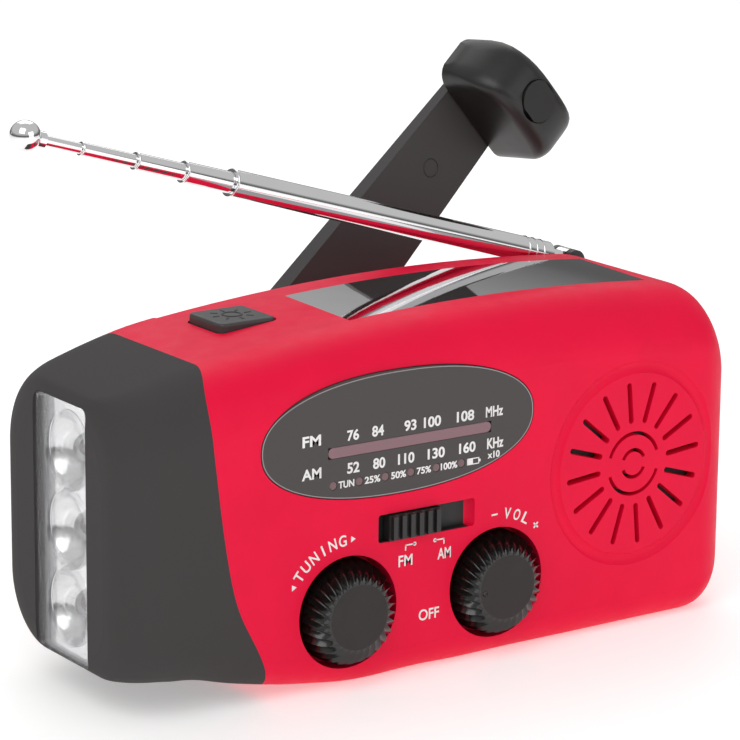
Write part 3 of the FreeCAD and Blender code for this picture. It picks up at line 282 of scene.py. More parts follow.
NODE_FINISHES: dict[Finish, str] = {
    SOFT_RED: "front_shell rear_shell",
    HEAD_RUBBER: "torch_head",
    CLEAR_LENS: "torch_lens",
    SILVERED: "torch_reflector",
    LAMP_RESIN: "torch_leds",
    BOARD_GREEN: "torch_board lamp_board main_board",
    WINDOW_GLASS: "solar_window",
    CELL_BLUE: "solar_cell",
    BUTTON_BLACK: "lamp_button port_cover",
    SLIDER_BLACK: "band_slider",
    DULL_BLACK: "lamp_switch band_switch_body tuning_capacitor battery_holder pointer_rail",
    DIAL_GREY: "dial_plate",
    SLOT_MAUVE: "slot_lens",
    POINTER_WHITE: "tuning_pointer",
    LIGHT_ROSE: "indicator_leds",
    KNOB_GLOSS: "tuning_knob volume_knob",
    STEEL: "tuning_shaft volume_shaft crank_shaft crank_pin idler_axle generator_shaft antenna_pin",
    SCREW_STEEL: "case_screws",
    NYLON: "tuning_pinion crank_gear idler_gear generator_pinion",
    CAN_METAL: "volume_potentiometer generator speaker_frame",
    CONE_PAPER: "speaker_cone",
    FERRITE: "speaker_magnet ferrite_rod",
    SLEEVE_GREEN: "battery_cells",
    COPPER: "antenna_coil",
    PLATED: "port_sockets gearbox_front_plate gearbox_rear_plate",
    CRANK_BLACK: "crank_arm crank_hub",
    GRIP_BLACK: "crank_axle crank_knob antenna_base",
    CHROME: (
        "antenna_tube antenna_section_2 antenna_section_3 antenna_section_4 antenna_section_5"
        " antenna_tip"
    ),
}


# ------------------------------------------------------------------ the bench


def clear_selection() -> None:
    """Leaves nothing selected."""
    for item in bpy.context.view_layer.objects:
        item.select_set(False)


def only(piece: bpy.types.Object) -> bpy.types.Object:
    """Selects one piece and makes it active.

    Args:
        piece: The piece.

    Returns:
        The same piece.
    """
    clear_selection()
    piece.select_set(True)
    bpy.context.view_layer.objects.active = piece
    return piece


@contextmanager
def editing(piece: bpy.types.Object) -> Iterator[None]:
    """Works on a piece's mesh, with nothing selected at the start.

    Args:
        piece: The piece.
    """
    only(piece)
    bpy.ops.object.mode_set(mode="EDIT")
    bpy.ops.mesh.select_mode(type="VERT")
    bpy.ops.mesh.select_all(action="DESELECT")
    try:
        yield
    finally:
        bpy.ops.object.mode_set(mode="OBJECT")


def pick_points(piece: bpy.types.Object, test: Callable[[Vector], bool]) -> None:
    """Selects the points of the mesh being edited that pass a test, and no others.

    Args:
        piece: The piece.
        test: Takes a point's place and says whether to select it.
    """
    shape = bmesh.from_edit_mesh(piece.data)
    for point in shape.verts:
        point.select_set(test(point.co))
    shape.select_flush(True)
    shape.select_flush(False)
    bmesh.update_edit_mesh(piece.data)


def start(name: str) -> bpy.types.Object:
    """Names the primitive that was just added.

    Args:
        name: The piece's name.

    Returns:
        The piece.
    """
    piece = bpy.context.active_object
    piece.name = name
    piece.data.name = name
    return piece


def add_modifier(piece: bpy.types.Object, kind: str, **settings: object) -> None:
    """Adds a modifier and applies it.

    Args:
        piece: The piece.
        kind: The modifier's type.
        **settings: The modifier's properties.
    """
    only(piece)
    modifier = piece.modifiers.new(kind.lower(), kind)
    for key, value in settings.items():
        setattr(modifier, key, value)
    bpy.ops.object.modifier_apply(modifier=modifier.name)


def settle(piece: bpy.types.Object, place: Matrix | None = None) -> bpy.types.Object:
    """Puts a piece in its place and leaves its object at the origin.

    Args:
        piece: The piece.
        place: Where its own frame goes, if it isn't there already.

    Returns:
        The same piece.
    """
    only(piece)
    if place is not None:
        piece.matrix_world = place @ piece.matrix_world
    bpy.ops.object.transform_apply(location=True, rotation=True, scale=True)
    return piece


def smooth(piece: bpy.types.Object, degrees: float = 35.0) -> None:
    """Shades a piece smooth, apart from edges sharper than an angle.

    Args:
        piece: The piece.
        degrees: The angle.
    """
    only(piece)
    bpy.ops.object.shade_smooth_by_angle(angle=math.radians(degrees))


def skin(name: str, rings: list[list[Vector]], open_ends: bool = False) -> bpy.types.Object:
    """Extrudes a circle of edges from ring to ring, and closes its ends.

    Args:
        name: The piece's name.
        rings: The rings, each a closed row of as many points.
        open_ends: Whether the ends stay open.

    Returns:
        The piece.
    """
    clear_selection()
    bpy.ops.mesh.primitive_circle_add(vertices=len(rings[0]), radius=MM)
    piece = start(name)
    places = [point.co.copy() for point in piece.data.vertices]
    with editing(piece):
        bpy.ops.mesh.select_all(action="SELECT")
        places = move_ring(piece, places, rings[0])
        first, last = places, places
        for ring in rings[1:]:
            bpy.ops.mesh.extrude_region_move()
            places = move_ring(piece, places, ring)
            last = places
        if not open_ends:
            bpy.ops.mesh.fill()
            near = {key_of(place) for place in first}
            pick_points(piece, lambda co: key_of(co) in near)
            bpy.ops.mesh.fill()
        bpy.ops.mesh.select_all(action="SELECT")
        bpy.ops.mesh.normals_make_consistent(inside=False)
    log.debug("%s ends at %s", name, last[0])
    return piece


def key_of(place: Vector) -> tuple[int, ...]:
    """A key for a point's place, to a hundredth of a micrometre."""
    return tuple(round(part * 1e8) for part in place)


def move_ring(piece: bpy.types.Object, old: list[Vector], new: list[Vector]) -> list[Vector]:
    """Moves the selected ring's points from their old places to new ones.

    Args:
        piece: The piece being edited.
        old: Where the ring's points are.
        new: Where they go, in millimetres, in the same order.

    Returns:
        The new places, as the mesh holds them.
    """
    numbers = {key_of(place): number for number, place in enumerate(old)}
    shape = bmesh.from_edit_mesh(piece.data)
    places = [Vector() for _ in new]
    for point in shape.verts:
        if point.select:
            number = numbers[key_of(point.co)]
            point.co = new[number] * MM
            places[number] = point.co.copy()
    bmesh.update_edit_mesh(piece.data)
    return places


def finish_piece(piece: bpy.types.Object, body: str, finish: Finish) -> bpy.types.Object:
    """Gives a piece its material and slot, and lets it ride on its body.

    Args:
        piece: The piece.
        body: The body it moves with.
        finish: Its finish.

    Returns:
        The same piece.
    """
    piece.data.materials.clear()
    piece.data.materials.append(finish.material())
    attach(piece, body)
    log.info("%s made, %d faces", piece.name, len(piece.data.polygons))
    return piece


def merge(pieces: list[bpy.types.Object], name: str) -> bpy.types.Object:
    """Makes several meshes one piece.

    Args:
        pieces: The meshes; all but the first go.
        name: The name of the piece.

    Returns:
        The piece.
    """
    clear_selection()
    for piece in pieces:
        piece.select_set(True)
    bpy.context.view_layer.objects.active = pieces[0]
    bpy.ops.object.join()
    return start(name)


def facing_front(x: float, y: float, z: float) -> Matrix:
    """A frame on the front face: its X to the right, its Y up, its Z out of the face.

    Args:
        x: Place along the case, in millimetres.
        y: Depth, in millimetres.
        z: Height, in millimetres.

    Returns:
        The frame's matrix.
    """
    return Matrix.Translation(Vector((x, y, z)) * MM) @ Matrix.Rotation(math.radians(90), 4, "X")


@dataclass
class Lettering:
    """Printed words and numbers, thin enough to read as ink."""

    thickness: float = 0.05
    weight: float = 0.012

    def word(
        self, text: str, width: float, height: float, place: Matrix, heavy: float | None = None
    ) -> bpy.types.Object:
        """Makes one word as a mesh of an exact size, centred on a place.

        Args:
            text: The word.
            width: Its width, in millimetres.
            height: Its height, in millimetres.
            place: The frame it lies in.
            heavy: How far its strokes are fattened, as a share of its height.

        Returns:
            The mesh.
        """
        clear_selection()
        bpy.ops.object.text_add()
        word = bpy.context.active_object
        word.data.body = text
        word.data.offset = self.weight if heavy is None else heavy
        word.data.extrude = 0.02
        word.data.resolution_u = 6
        bpy.ops.object.convert(target="MESH")
        word = bpy.context.active_object
        low = Vector((min(v.co[i] for v in word.data.vertices) for i in range(3)))
        high = Vector((max(v.co[i] for v in word.data.vertices) for i in range(3)))
        middle = (low + high) / 2
        span = high - low
        scale = Matrix.Diagonal((
            width * MM / span.x, height * MM / span.y, self.thickness * MM / span.z, 1,
        ))  # fmt: skip
        word.matrix_world = place @ scale @ Matrix.Translation(-middle)
        return settle(word)


# ------------------------------------------------------------------ printed legends


@dataclass
class FrontLegends:
    """The white words printed round the knobs and under the band slider."""

    depth: float = -22.53
    knob_height: float = 13.5
    tuning_x: float = -21.5
    volume_x: float = 9.8
    letters: Lettering = field(default_factory=Lettering)

    def build(self) -> None:
        """Makes the whole print as one piece on the case."""
        parts = [
            self.letters.word("FM", 2.9, 2.0, facing_front(-9.8, self.depth, 20.75)),
            self.letters.word("AM", 2.8, 2.0, facing_front(-1.6, self.depth, 20.75)),
            self.letters.word("OFF", 4.3, 2.0, facing_front(-4.7, self.depth, 10.25)),
        ]
        parts += self._arc("TUNING", self.tuning_x, 12.9, 142.0, 96.0, 1.55)
        parts += self._arc("VOL", self.volume_x, 12.4, 80.0, 60.0, 1.4)
        parts += [self._arrow(151.0, 1), self._arrow(87.0, -1)]
        parts += [
            self._bar(self.volume_x, 12.4, 93.0, 1.3, 0.3, 0),
            self._bar(self.volume_x, 12.4, 47.0, 1.3, 0.3, 0),
            self._bar(self.volume_x, 12.4, 47.0, 0.3, 1.3, 0),
        ]
        parts += self._leader(-9.8, -7.9, 22.55, 23.45)
        parts += self._leader(-1.7, -3.6, 22.45, 23.35)
        piece = merge(parts, "front_legends")
        finish_piece(piece, "case", PRINT_WHITE)

    def _spot(self, x: float, radius: float, degrees: float) -> Matrix:
        """A frame on a circle round a knob, its Y pointing outwards.

        Args:
            x: The knob's place along the case.
            radius: The circle's radius.
            degrees: The angle, from the right, as seen from the front.

        Returns:
            The frame's matrix.
        """
        turn = math.radians(degrees)
        spot = facing_front(
            x + radius * math.cos(turn), self.depth, self.knob_height + radius * math.sin(turn)
        )
        return spot @ Matrix.Rotation(turn - math.pi / 2, 4, "Z")

    def _arc(
        self, text: str, x: float, radius: float, first: float, last: float, width: float
    ) -> list[bpy.types.Object]:
        """Letters set one by one along an arc.

        Args:
            text: The word.
            x: The knob's place along the case.
            radius: The arc's radius.
            first: The first letter's angle.
            last: The last letter's angle.
            width: The width of a letter.

        Returns:
            The letters.
        """
        step = (last - first) / (len(text) - 1)
        return [
            self.letters.word(
                letter,
                0.35 if letter == "I" else width,
                2.0,
                self._spot(x, radius, first + step * number),
            )
            for number, letter in enumerate(text)
        ]

    def _arrow(self, degrees: float, side: int) -> bpy.types.Object:
        """A small solid arrowhead at one end of the tuning word."""
        clear_selection()
        bpy.ops.mesh.primitive_cylinder_add(vertices=3, radius=0.62 * MM, depth=0.05 * MM)
        arrow = start("arrow")
        turned = Matrix.Rotation(math.radians(90 * side), 4, "Z")
        return settle(arrow, self._spot(self.tuning_x, 12.9, degrees) @ turned)

    def _bar(
        self, x: float, radius: float, degrees: float, width: float, height: float, lift: float
    ) -> bpy.types.Object:
        """A short printed bar on a circle round a knob."""
        return flat_bar(width, height, self._spot(x, radius, degrees) @ Matrix.Translation((0, lift, 0)))

    def _leader(self, foot: float, dot: float, low: float, high: float) -> list[bpy.types.Object]:
        """A bent leader line with a dot at its end.

        Args:
            foot: Where the line stands.
            dot: Where its dot is.
            low: Height of its foot.
            high: Height of its bend.

        Returns:
            The meshes.
        """
        clear_selection()
        bpy.ops.mesh.primitive_cylinder_add(vertices=24, radius=0.36 * MM, depth=0.05 * MM)
        spot = settle(start("dot"), facing_front(dot, self.depth, high))
        middle = (foot + dot) / 2
        return [
            spot,
            flat_bar(0.24, high - low + 0.12, facing_front(foot, self.depth, (low + high) / 2)),
            flat_bar(abs(foot - dot) + 0.24, 0.24, facing_front(middle, self.depth, high)),
        ]


def flat_bar(width: float, height: float, place: Matrix) -> bpy.types.Object:
    """A thin printed bar with softened corners.

    Args:
        width: Its width, in millimetres.
        height: Its height, in millimetres.
        place: The frame it lies in.

    Returns:
        The mesh.
    """
    clear_selection()
    bpy.ops.mesh.primitive_cube_add(size=1)
    bar = start("bar")
    bar.scale = (width * MM, height * MM, 0.05 * MM)
    settle(bar)
    with editing(bar):
        pick_points(bar, lambda co: True)
        bpy.ops.mesh.bevel(offset=0.01 * MM, segments=1, affect="EDGES")
    return settle(bar, place)


@dataclass
class Dial:
    """The print on the dial: scales, charge marks and the silver rim."""

    depth: float = -22.53
    middle_x: float = -11.0
    middle_z: float = 43.8
    half_length: float = 28.1
    half_height: float = 10.7
    letters: Lettering = field(default_factory=lambda: Lettering(weight=0.026))

    def build(self) -> None:
        """Makes the scales and the rim."""
        words = [
            *self._row([("76", -20.9, 2.4), ("84", -15.8, 2.4), ("93", -9.1, 2.5),
                        ("100", -4.5, 3.6), ("108", 2.5, 3.7), ("MHz", 8.7, 3.7)], 44.65, 1.9),
            *self._row([("52", -20.8, 2.5), ("80", -15.5, 2.5), ("110", -9.9, 3.4),
                        ("130", -3.6, 3.6), ("160", 3.0, 3.5), ("KHz", 9.0, 3.5)], 38.95, 1.9),
            *self._row([("x10", 8.7, 2.6)], 36.9, 1.25),
            *self._row([("FM", -29.25, 3.7)], 44.75, 1.9),
            *self._row([("AM", -29.25, 3.9)], 39.05, 1.9),
            *self._row([("TUN", -22.2, 3.2), ("25%", -16.85, 3.2), ("50%", -11.45, 3.1),
                        ("75%", -6.15, 3.0), ("100%", -0.85, 3.5)], 36.3, 1.25),
            *self._battery(4.3, 36.3),
        ]  # fmt: skip
        self._slot_bar()
        piece = merge(words, "dial_print")
        finish_piece(piece, "case", PRINT_WHITE)
        self._rim()

    def _row(self, words: list[tuple[str, float, float]], z: float, height: float) -> list:
        """Sets a row of words.

        Args:
            words: Each word, its middle along the case and its width.
            z: The height of the middle of the row.
            height: The height of the letters.

        Returns:
            The meshes.
        """
        return [
            self.letters.word(text, width, height, facing_front(x, self.depth, z))
            for text, x, width in words
        ]

    def _battery(self, x: float, z: float) -> list[bpy.types.Object]:
        """A small charge sign: an outline, a cap and a half-full middle."""
        bars = [
            (2.4, 0.18, x, z + 0.5), (2.4, 0.18, x, z - 0.5), (0.2, 1.15, x - 1.2, z),
            (0.2, 1.15, x + 1.2, z), (0.25, 0.5, x + 1.45, z), (1.1, 0.85, x - 0.6, z),
        ]  # fmt: skip
        return [flat_bar(w, h, facing_front(bx, self.depth, bz)) for w, h, bx, bz in bars]

    def _slot_bar(self) -> None:
        """The tinted bar over the pointer, with rounded ends."""
        low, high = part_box("slot_lens")
        radius = (high.z - low.z) / 2
        rings = []
        for depth, inset in ((-22.3, 0.0), (-22.47, 0.0), (-22.53, 0.06)):
            reach = radius - inset * MM
            ring = []
            for step in range(48):
                turn = 2 * math.pi * step / 48
                side = high.x - radius if math.cos(turn) >= 0 else low.x + radius
                ring.append(Vector((
                    (side + reach * math.cos(turn)) / MM,
                    depth,
                    ((low.z + high.z) / 2 + reach * math.sin(turn)) / MM,
                )))  # fmt: skip
            rings.append(ring)
        bar = skin("slot_bar", rings)
        smooth(bar)
        finish_piece(bar, "case", SLOT_MAUVE)
        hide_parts("slot_lens")

    def _rim(self) -> None:
        """The thin silver line round the dial."""
        clear_selection()
        bpy.ops.mesh.primitive_circle_add(vertices=160, radius=1.0)
        rim = start("dial_rim")
        for point in rim.data.vertices:
            across, upward = point.co.x, point.co.y
            point.co.x = math.copysign(abs(across) ** 0.9, across) * self.half_length * MM
            point.co.y = math.copysign(abs(upward) ** 0.9, upward) * self.half_height * MM
        with editing(rim):
            pick_points(rim, lambda co: True)
            bpy.ops.mesh.extrude_region_move()
            bpy.ops.transform.resize(value=(0.9935, 0.984, 1))
        add_modifier(rim, "SOLIDIFY", thickness=0.08 * MM, offset=0.0)
        settle(rim, facing_front(self.middle_x, self.depth + 0.02, self.middle_z))
        smooth(rim)
        finish_piece(rim, "case", PRINT_SILVER)


# ------------------------------------------------------------------ knobs


@dataclass
class FlutedKnob:
    """A knob with twisted flutes round a flat matt disc."""

    name: str
    node: str
    body: str
    x: float
    z: float = 13.5
    back: float = -17.8
    flutes: int = 30
    per_flute: int = 8
    dimple: bool = False
    rings: tuple[tuple[float, float, float, float], ...] = (
        # radius of the ridges, height, depth of the valleys, turn in degrees
        (9.15, 0.0, 0.35, 0.0),
        (9.28, 0.3, 0.75, 0.0),
        (9.28, 3.2, 1.00, 0.0),
        (9.14, 4.9, 1.15, 1.0),
        (8.80, 6.2, 1.30, 3.0),
        (8.25, 7.2, 1.35, 6.0),
        (7.45, 7.9, 1.15, 9.5),
        (6.65, 8.15, 0.75, 12.0),
        (6.0, 8.2, 0.25, 13.5),
    )

    def build(self) -> None:
        """Makes the fluted skirt and its disc."""
        knob = skin(self.name, [self._ring(*ring) for ring in self.rings])
        smooth(knob, 45)
        if self.dimple:
            self._cut_dimple(knob)
        settle(knob, facing_front(self.x, self.back, self.z))
        finish_piece(knob, self.body, KNOB_GLOSS)
        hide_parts(self.node)
        self._disc()

    def _ring(self, radius: float, height: float, valley: float, turn: float) -> list[Vector]:
        """One ring of the skirt, with its flutes pressed in.

        Args:
            radius: The ridges' radius.
            height: The ring's height above the knob's back.
            valley: The depth of the valleys.
            turn: The ring's turn, in degrees.

        Returns:
            The ring's points.
        """
        points = []
        for number in range(self.flutes * self.per_flute):
            share = (number % self.per_flute) / self.per_flute
            reach = radius - valley * math.sin(math.pi * share) ** 0.8
            angle = 2 * math.pi * number / (self.flutes * self.per_flute) + math.radians(turn)
            points.append(Vector((reach * math.cos(angle), reach * math.sin(angle), height)))
        return points

    def _cut_dimple(self, knob: bpy.types.Object) -> None:
        """Presses the small index mark into the knob's face."""
        clear_selection()
        bpy.ops.mesh.primitive_uv_sphere_add(
            segments=24, ring_count=12, radius=0.75 * MM, location=(-4.9 * MM, -0.4 * MM, 8.6 * MM)
        )
        tool = start("dimple_tool")
        add_modifier(knob, "BOOLEAN", object=tool, operation="DIFFERENCE", solver="EXACT")
        bpy.data.objects.remove(tool)

    def _disc(self) -> None:
        """The flat matt disc on the knob's front."""
        clear_selection()
        bpy.ops.mesh.primitive_cylinder_add(vertices=96, radius=5.75 * MM, depth=0.1 * MM)
        disc = start(self.name + "_disc")
        with editing(disc):
            pick_points(disc, lambda co: co.z > 0)
            bpy.ops.mesh.inset(thickness=0.15 * MM)
            bpy.ops.transform.translate(value=(0, 0, 0.02 * MM))
        if self.dimple:
            clear_selection()
            bpy.ops.mesh.primitive_cylinder_add(
                vertices=32, radius=0.55 * MM, depth=1 * MM, location=(-4.9 * MM, -0.4 * MM, 0)
            )
            tool = start("hole_tool")
            add_modifier(disc, "BOOLEAN", object=tool, operation="DIFFERENCE", solver="EXACT")
            bpy.data.objects.remove(tool)
        smooth(disc)
        settle(disc, facing_front(self.x, self.back - 8.17, self.z))
        finish_piece(disc, self.body, KNOB_MATT)


# ------------------------------------------------------------------ crank grip


@dataclass
class CrankGrip:
    """The domed grip at the end of the crank, round its flush axle cap."""

    half_along: float = 5.75
    half_across: float = 12.15
    back: float = -2.5
    height: float = 15.15
    foot: float = 2.4
    corner: float = 2.9
    end_rounding: float = 3.4
    cap_radius: float = 4.15
    sloping_end: tuple[tuple[float, float], ...] = (
        # share of the half length, share of the height
        (1.0, 0.07), (1.0, 0.12), (0.992, 0.16), (0.978, 0.20), (0.968, 0.25), (0.955, 0.33),
        (0.925, 0.44), (0.88, 0.56), (0.81, 0.68), (0.72, 0.78), (0.61, 0.865), (0.48, 0.93),
        (0.34, 0.97), (0.17, 0.993), (0.0, 1.0),
    )  # fmt: skip
    full_end: tuple[tuple[float, float], ...] = (
        (0.2, 1.0), (0.4, 0.995), (0.56, 0.98), (0.68, 0.955), (0.77, 0.92), (0.84, 0.875),
        (0.895, 0.82), (0.935, 0.75), (0.962, 0.67), (0.98, 0.57), (0.992, 0.44), (0.998, 0.3),
        (1.0, 0.17), (1.0, 0.07),
    )  # fmt: skip

    def build(self) -> None:
        """Shapes the grip in the arm's own frame and sets it on its axle."""
        stations = [(-share, tall) for share, tall in self.sloping_end] + list(self.full_end)
        grip = skin("shaped_grip", [
            self._section(share * self.half_across, tall * self.height) for share, tall in stations
        ])  # fmt: skip
        self._bore(grip)
        smooth(grip, 42)
        settle(grip, self.arm_frame())
        finish_piece(grip, "hand_knob", GRIP_BLACK)
        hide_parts("crank_knob")

    def _section(self, across: float, tall: float) -> list[Vector]:
        """The grip's outline where it's cut along the arm: a rectangle with rounded front corners.

        Args:
            across: Where the cut is.
            tall: How tall the grip is there.

        Returns:
            The outline's points.
        """
        into_corner = max(self.end_rounding - (self.half_across - abs(across)), 0.0)
        swell = self.half_along - self.end_rounding
        swell += math.sqrt(max(self.end_rounding**2 - into_corner**2, 0.3))
        corner = min(self.corner, tall * 0.55)
        points = [Vector((-swell, across, self.back - tall * share)) for share in (0.02, 0.15, 0.3)]
        for side in (-1, 1):
            for step in range(9):
                turn = math.pi / 2 * step / 8
                rise, reach = math.sin(turn), math.cos(turn)
                if side > 0:
                    rise, reach = reach, rise
                points.append(Vector((
                    side * (swell - corner + corner * reach),
                    across,
                    self.back - (tall - corner + corner * rise),
                )))  # fmt: skip
        points += [Vector((swell, across, self.back - tall * share)) for share in (0.3, 0.15, 0.02)]
        return points

    def _bore(self, grip: bpy.types.Object) -> None:
        """Cuts the axle's bore and the round seat of its cap."""
        front = self.back - self.height
        for radius, depth, middle in ((2.3, 24.0, -10.0), (self.cap_radius, 2.4, front)):
            clear_selection()
            bpy.ops.mesh.primitive_cylinder_add(
                vertices=64, radius=radius * MM, depth=depth * MM, location=(0, 0, middle * MM)
            )
            tool = settle(start("bore_tool"))
            add_modifier(grip, "BOOLEAN", object=tool, operation="DIFFERENCE", solver="EXACT")
            bpy.data.objects.remove(tool)

    def arm_frame(self) -> Matrix:
        """The grip's frame: X along the arm, Y across it, Z out of its rear.

        Returns:
            The frame's matrix.
        """
        joints = {joint["name"]: joint for joint in frame["joints"]}
        centre = Vector(joints["knob_spin"]["pos_m"])
        rearward = -Vector(joints["knob_spin"]["axis"]).normalized()
        across = -Vector(joints["crank_fold"]["axis"]).normalized()
        along = across.cross(rearward)
        turned = Matrix((along, across, rearward)).transposed().to_4x4()
        return Matrix.Translation(centre) @ turned


# ------------------------------------------------------------------ lamp button, antenna, torch, grille, switch recess, arm mark


@dataclass
class LampButtonIcon:
    """The raised sun sign on the lamp button."""

    x: float = -28.0
    y: float = 4.3
    rays: int = 8

    def build(self) -> None:
        """Makes the ring and its rays."""
        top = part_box("lamp_button")[1].z / MM - 0.03
        clear_selection()
        bpy.ops.mesh.primitive_torus_add(
            major_radius=1.7 * MM, minor_radius=0.22 * MM, major_segments=48, minor_segments=10,
            location=(self.x * MM, self.y * MM, (top - 0.05) * MM),
        )  # fmt: skip
        pieces = [settle(start("sun_ring"))]
        for number in range(self.rays):
            clear_selection()
            bpy.ops.mesh.primitive_cylinder_add(vertices=12, radius=0.24 * MM, depth=1.3 * MM)
            ray = start("sun_ray")
            turn = Matrix.Rotation(2 * math.pi * number / self.rays, 4, "Z")
            lying = Matrix.Translation((3.2 * MM, 0, 0)) @ Matrix.Rotation(math.pi / 2, 4, "Y")
            with editing(ray):
                bpy.ops.mesh.select_all(action="SELECT")
                bpy.ops.mesh.bevel(offset=0.08 * MM, segments=2, affect="EDGES")
            place = Matrix.Translation((self.x * MM, self.y * MM, (top - 0.08) * MM))
            pieces.append(settle(ray, place @ turn @ lying))
        icon = merge(pieces, "sun_icon")
        smooth(icon)
        finish_piece(icon, "lamp_button", ICON_GREY)


@dataclass
class AntennaCollars:
    """Small rolled collars at the mouths of the antenna's tubes, and rings at its root."""

    mouths: tuple[tuple[str, float, float], ...] = (
        ("antenna_outer", 78.3, 2.42),
        ("antenna_second", 88.5, 1.87),
        ("antenna_third", 98.6, 1.47),
        ("antenna_fourth", 109.7, 1.12),
        ("antenna_outer", 7.4, 2.44),
        ("antenna_outer", 9.2, 2.44),
        ("antenna_outer", 11.0, 2.44),
    )

    def build(self) -> None:
        """Makes each collar round the antenna's own line."""
        joints = {joint["name"]: joint for joint in frame["joints"]}
        pivot = Vector(joints["antenna_tilt"]["pos_m"])
        outward = Vector(joints["antenna_slide_2"]["axis"]).normalized()
        turned = outward.to_track_quat("Z", "Y").to_matrix().to_4x4()
        for number, (body, distance, radius) in enumerate(self.mouths, start=1):
            clear_selection()
            bpy.ops.mesh.primitive_torus_add(
                major_radius=radius * MM, minor_radius=0.2 * MM, major_segments=48,
                minor_segments=12,
            )  # fmt: skip
            collar = start(f"antenna_collar_{number}")
            place = Matrix.Translation(pivot + outward * distance * MM)
            settle(collar, place @ turned)
            smooth(collar, 60)
            finish_piece(collar, body, CHROME)


@dataclass
class TorchReflector:
    """The silvered plate behind the torch window, with its three bowls, and the lamps' chips."""

    heights: tuple[float, ...] = (15.85, 29.5, 43.15)
    middle_y: float = -0.4
    front: float = -62.86
    half_width: float = 8.6
    half_height: float = 22.4
    bowl: tuple[tuple[float, float], ...] = (
        # radius, distance behind the plate's front
        (6.95, -0.02), (6.7, 0.1), (6.45, 0.5), (6.1, 1.1), (5.6, 1.8), (4.9, 2.45), (4.1, 2.95),
        (3.3, 3.3), (2.6, 3.5),
    )  # fmt: skip

    def build(self) -> None:
        """Makes the plate with its bowls, and the chips."""
        plate = self._plate()
        bowls = [self._one_bowl(height) for height in self.heights]
        reflector = merge([plate, *bowls], "bowl_reflector")
        smooth(reflector, 40)
        finish_piece(reflector, "case", SILVERED)
        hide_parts("torch_reflector")
        self._chips()

    def _plate(self) -> bpy.types.Object:
        """The flat plate, pierced where the bowls go."""
        clear_selection()
        bpy.ops.mesh.primitive_cube_add(size=1)
        plate = start("plate")
        plate.scale = (0.9 * MM, 2 * self.half_width * MM, 2 * self.half_height * MM)
        plate.location = Vector((self.front + 0.45, self.middle_y, self.heights[1])) * MM
        settle(plate)
        for height in self.heights:
            clear_selection()
            bpy.ops.mesh.primitive_cylinder_add(
                vertices=96, radius=6.68 * MM, depth=4 * MM, rotation=(0, math.pi / 2, 0),
                location=(self.front * MM, self.middle_y * MM, height * MM),
            )  # fmt: skip
            tool = settle(start("bowl_tool"))
            add_modifier(plate, "BOOLEAN", object=tool, operation="DIFFERENCE", solver="EXACT")
            bpy.data.objects.remove(tool)
        return plate

    def _one_bowl(self, height: float) -> bpy.types.Object:
        """One rounded bowl with a narrow lip.

        Args:
            height: The height of its middle.

        Returns:
            The mesh.
        """
        rings = [
            [
                Vector((
                    self.front + depth,
                    self.middle_y + radius * math.cos(2 * math.pi * step / 96),
                    height + radius * math.sin(2 * math.pi * step / 96),
                ))
                for step in range(96)
            ]
            for radius, depth in self.bowl
        ]  # fmt: skip
        bowl = skin("bowl", rings, open_ends=True)
        add_modifier(bowl, "SOLIDIFY", thickness=0.15 * MM, offset=0.0)
        return bowl

    def _chips(self) -> None:
        """The small dark chips inside the lamps."""
        chips = []
        for height in self.heights:
            clear_selection()
            bpy.ops.mesh.primitive_cube_add(
                size=1.3 * MM, location=(-59.6 * MM, self.middle_y * MM, height * MM)
            )
            chip = settle(start("chip"))
            with editing(chip):
                pick_points(chip, lambda co: co.x < -59.6 * MM)
                bpy.ops.transform.resize(value=(1, 0.6, 0.6))
            add_modifier(chip, "BEVEL", width=0.15 * MM, segments=2)
            chips.append(chip)
        piece = merge(chips, "lamp_chips")
        smooth(piece)
        finish_piece(piece, "case", LIGHT_ROSE)


@dataclass
class GrilleCloth:
    """The dark cloth behind the loudspeaker's slots."""

    x: float = 40.1
    z: float = 30.5

    def build(self) -> None:
        """Makes a slightly domed disc behind the grille."""
        clear_selection()
        bpy.ops.mesh.primitive_circle_add(vertices=64, radius=15.4 * MM, fill_type="NGON")
        cloth = start("grille_cloth")
        with editing(cloth):
            bpy.ops.mesh.select_all(action="SELECT")
            bpy.ops.mesh.inset(thickness=5 * MM)
            bpy.ops.transform.translate(value=(0, 0, -0.1 * MM))
        add_modifier(cloth, "SOLIDIFY", thickness=0.12 * MM)
        settle(cloth, facing_front(self.x, -19.95, self.z))
        smooth(cloth)
        finish_piece(cloth, "case", CONE_PAPER)


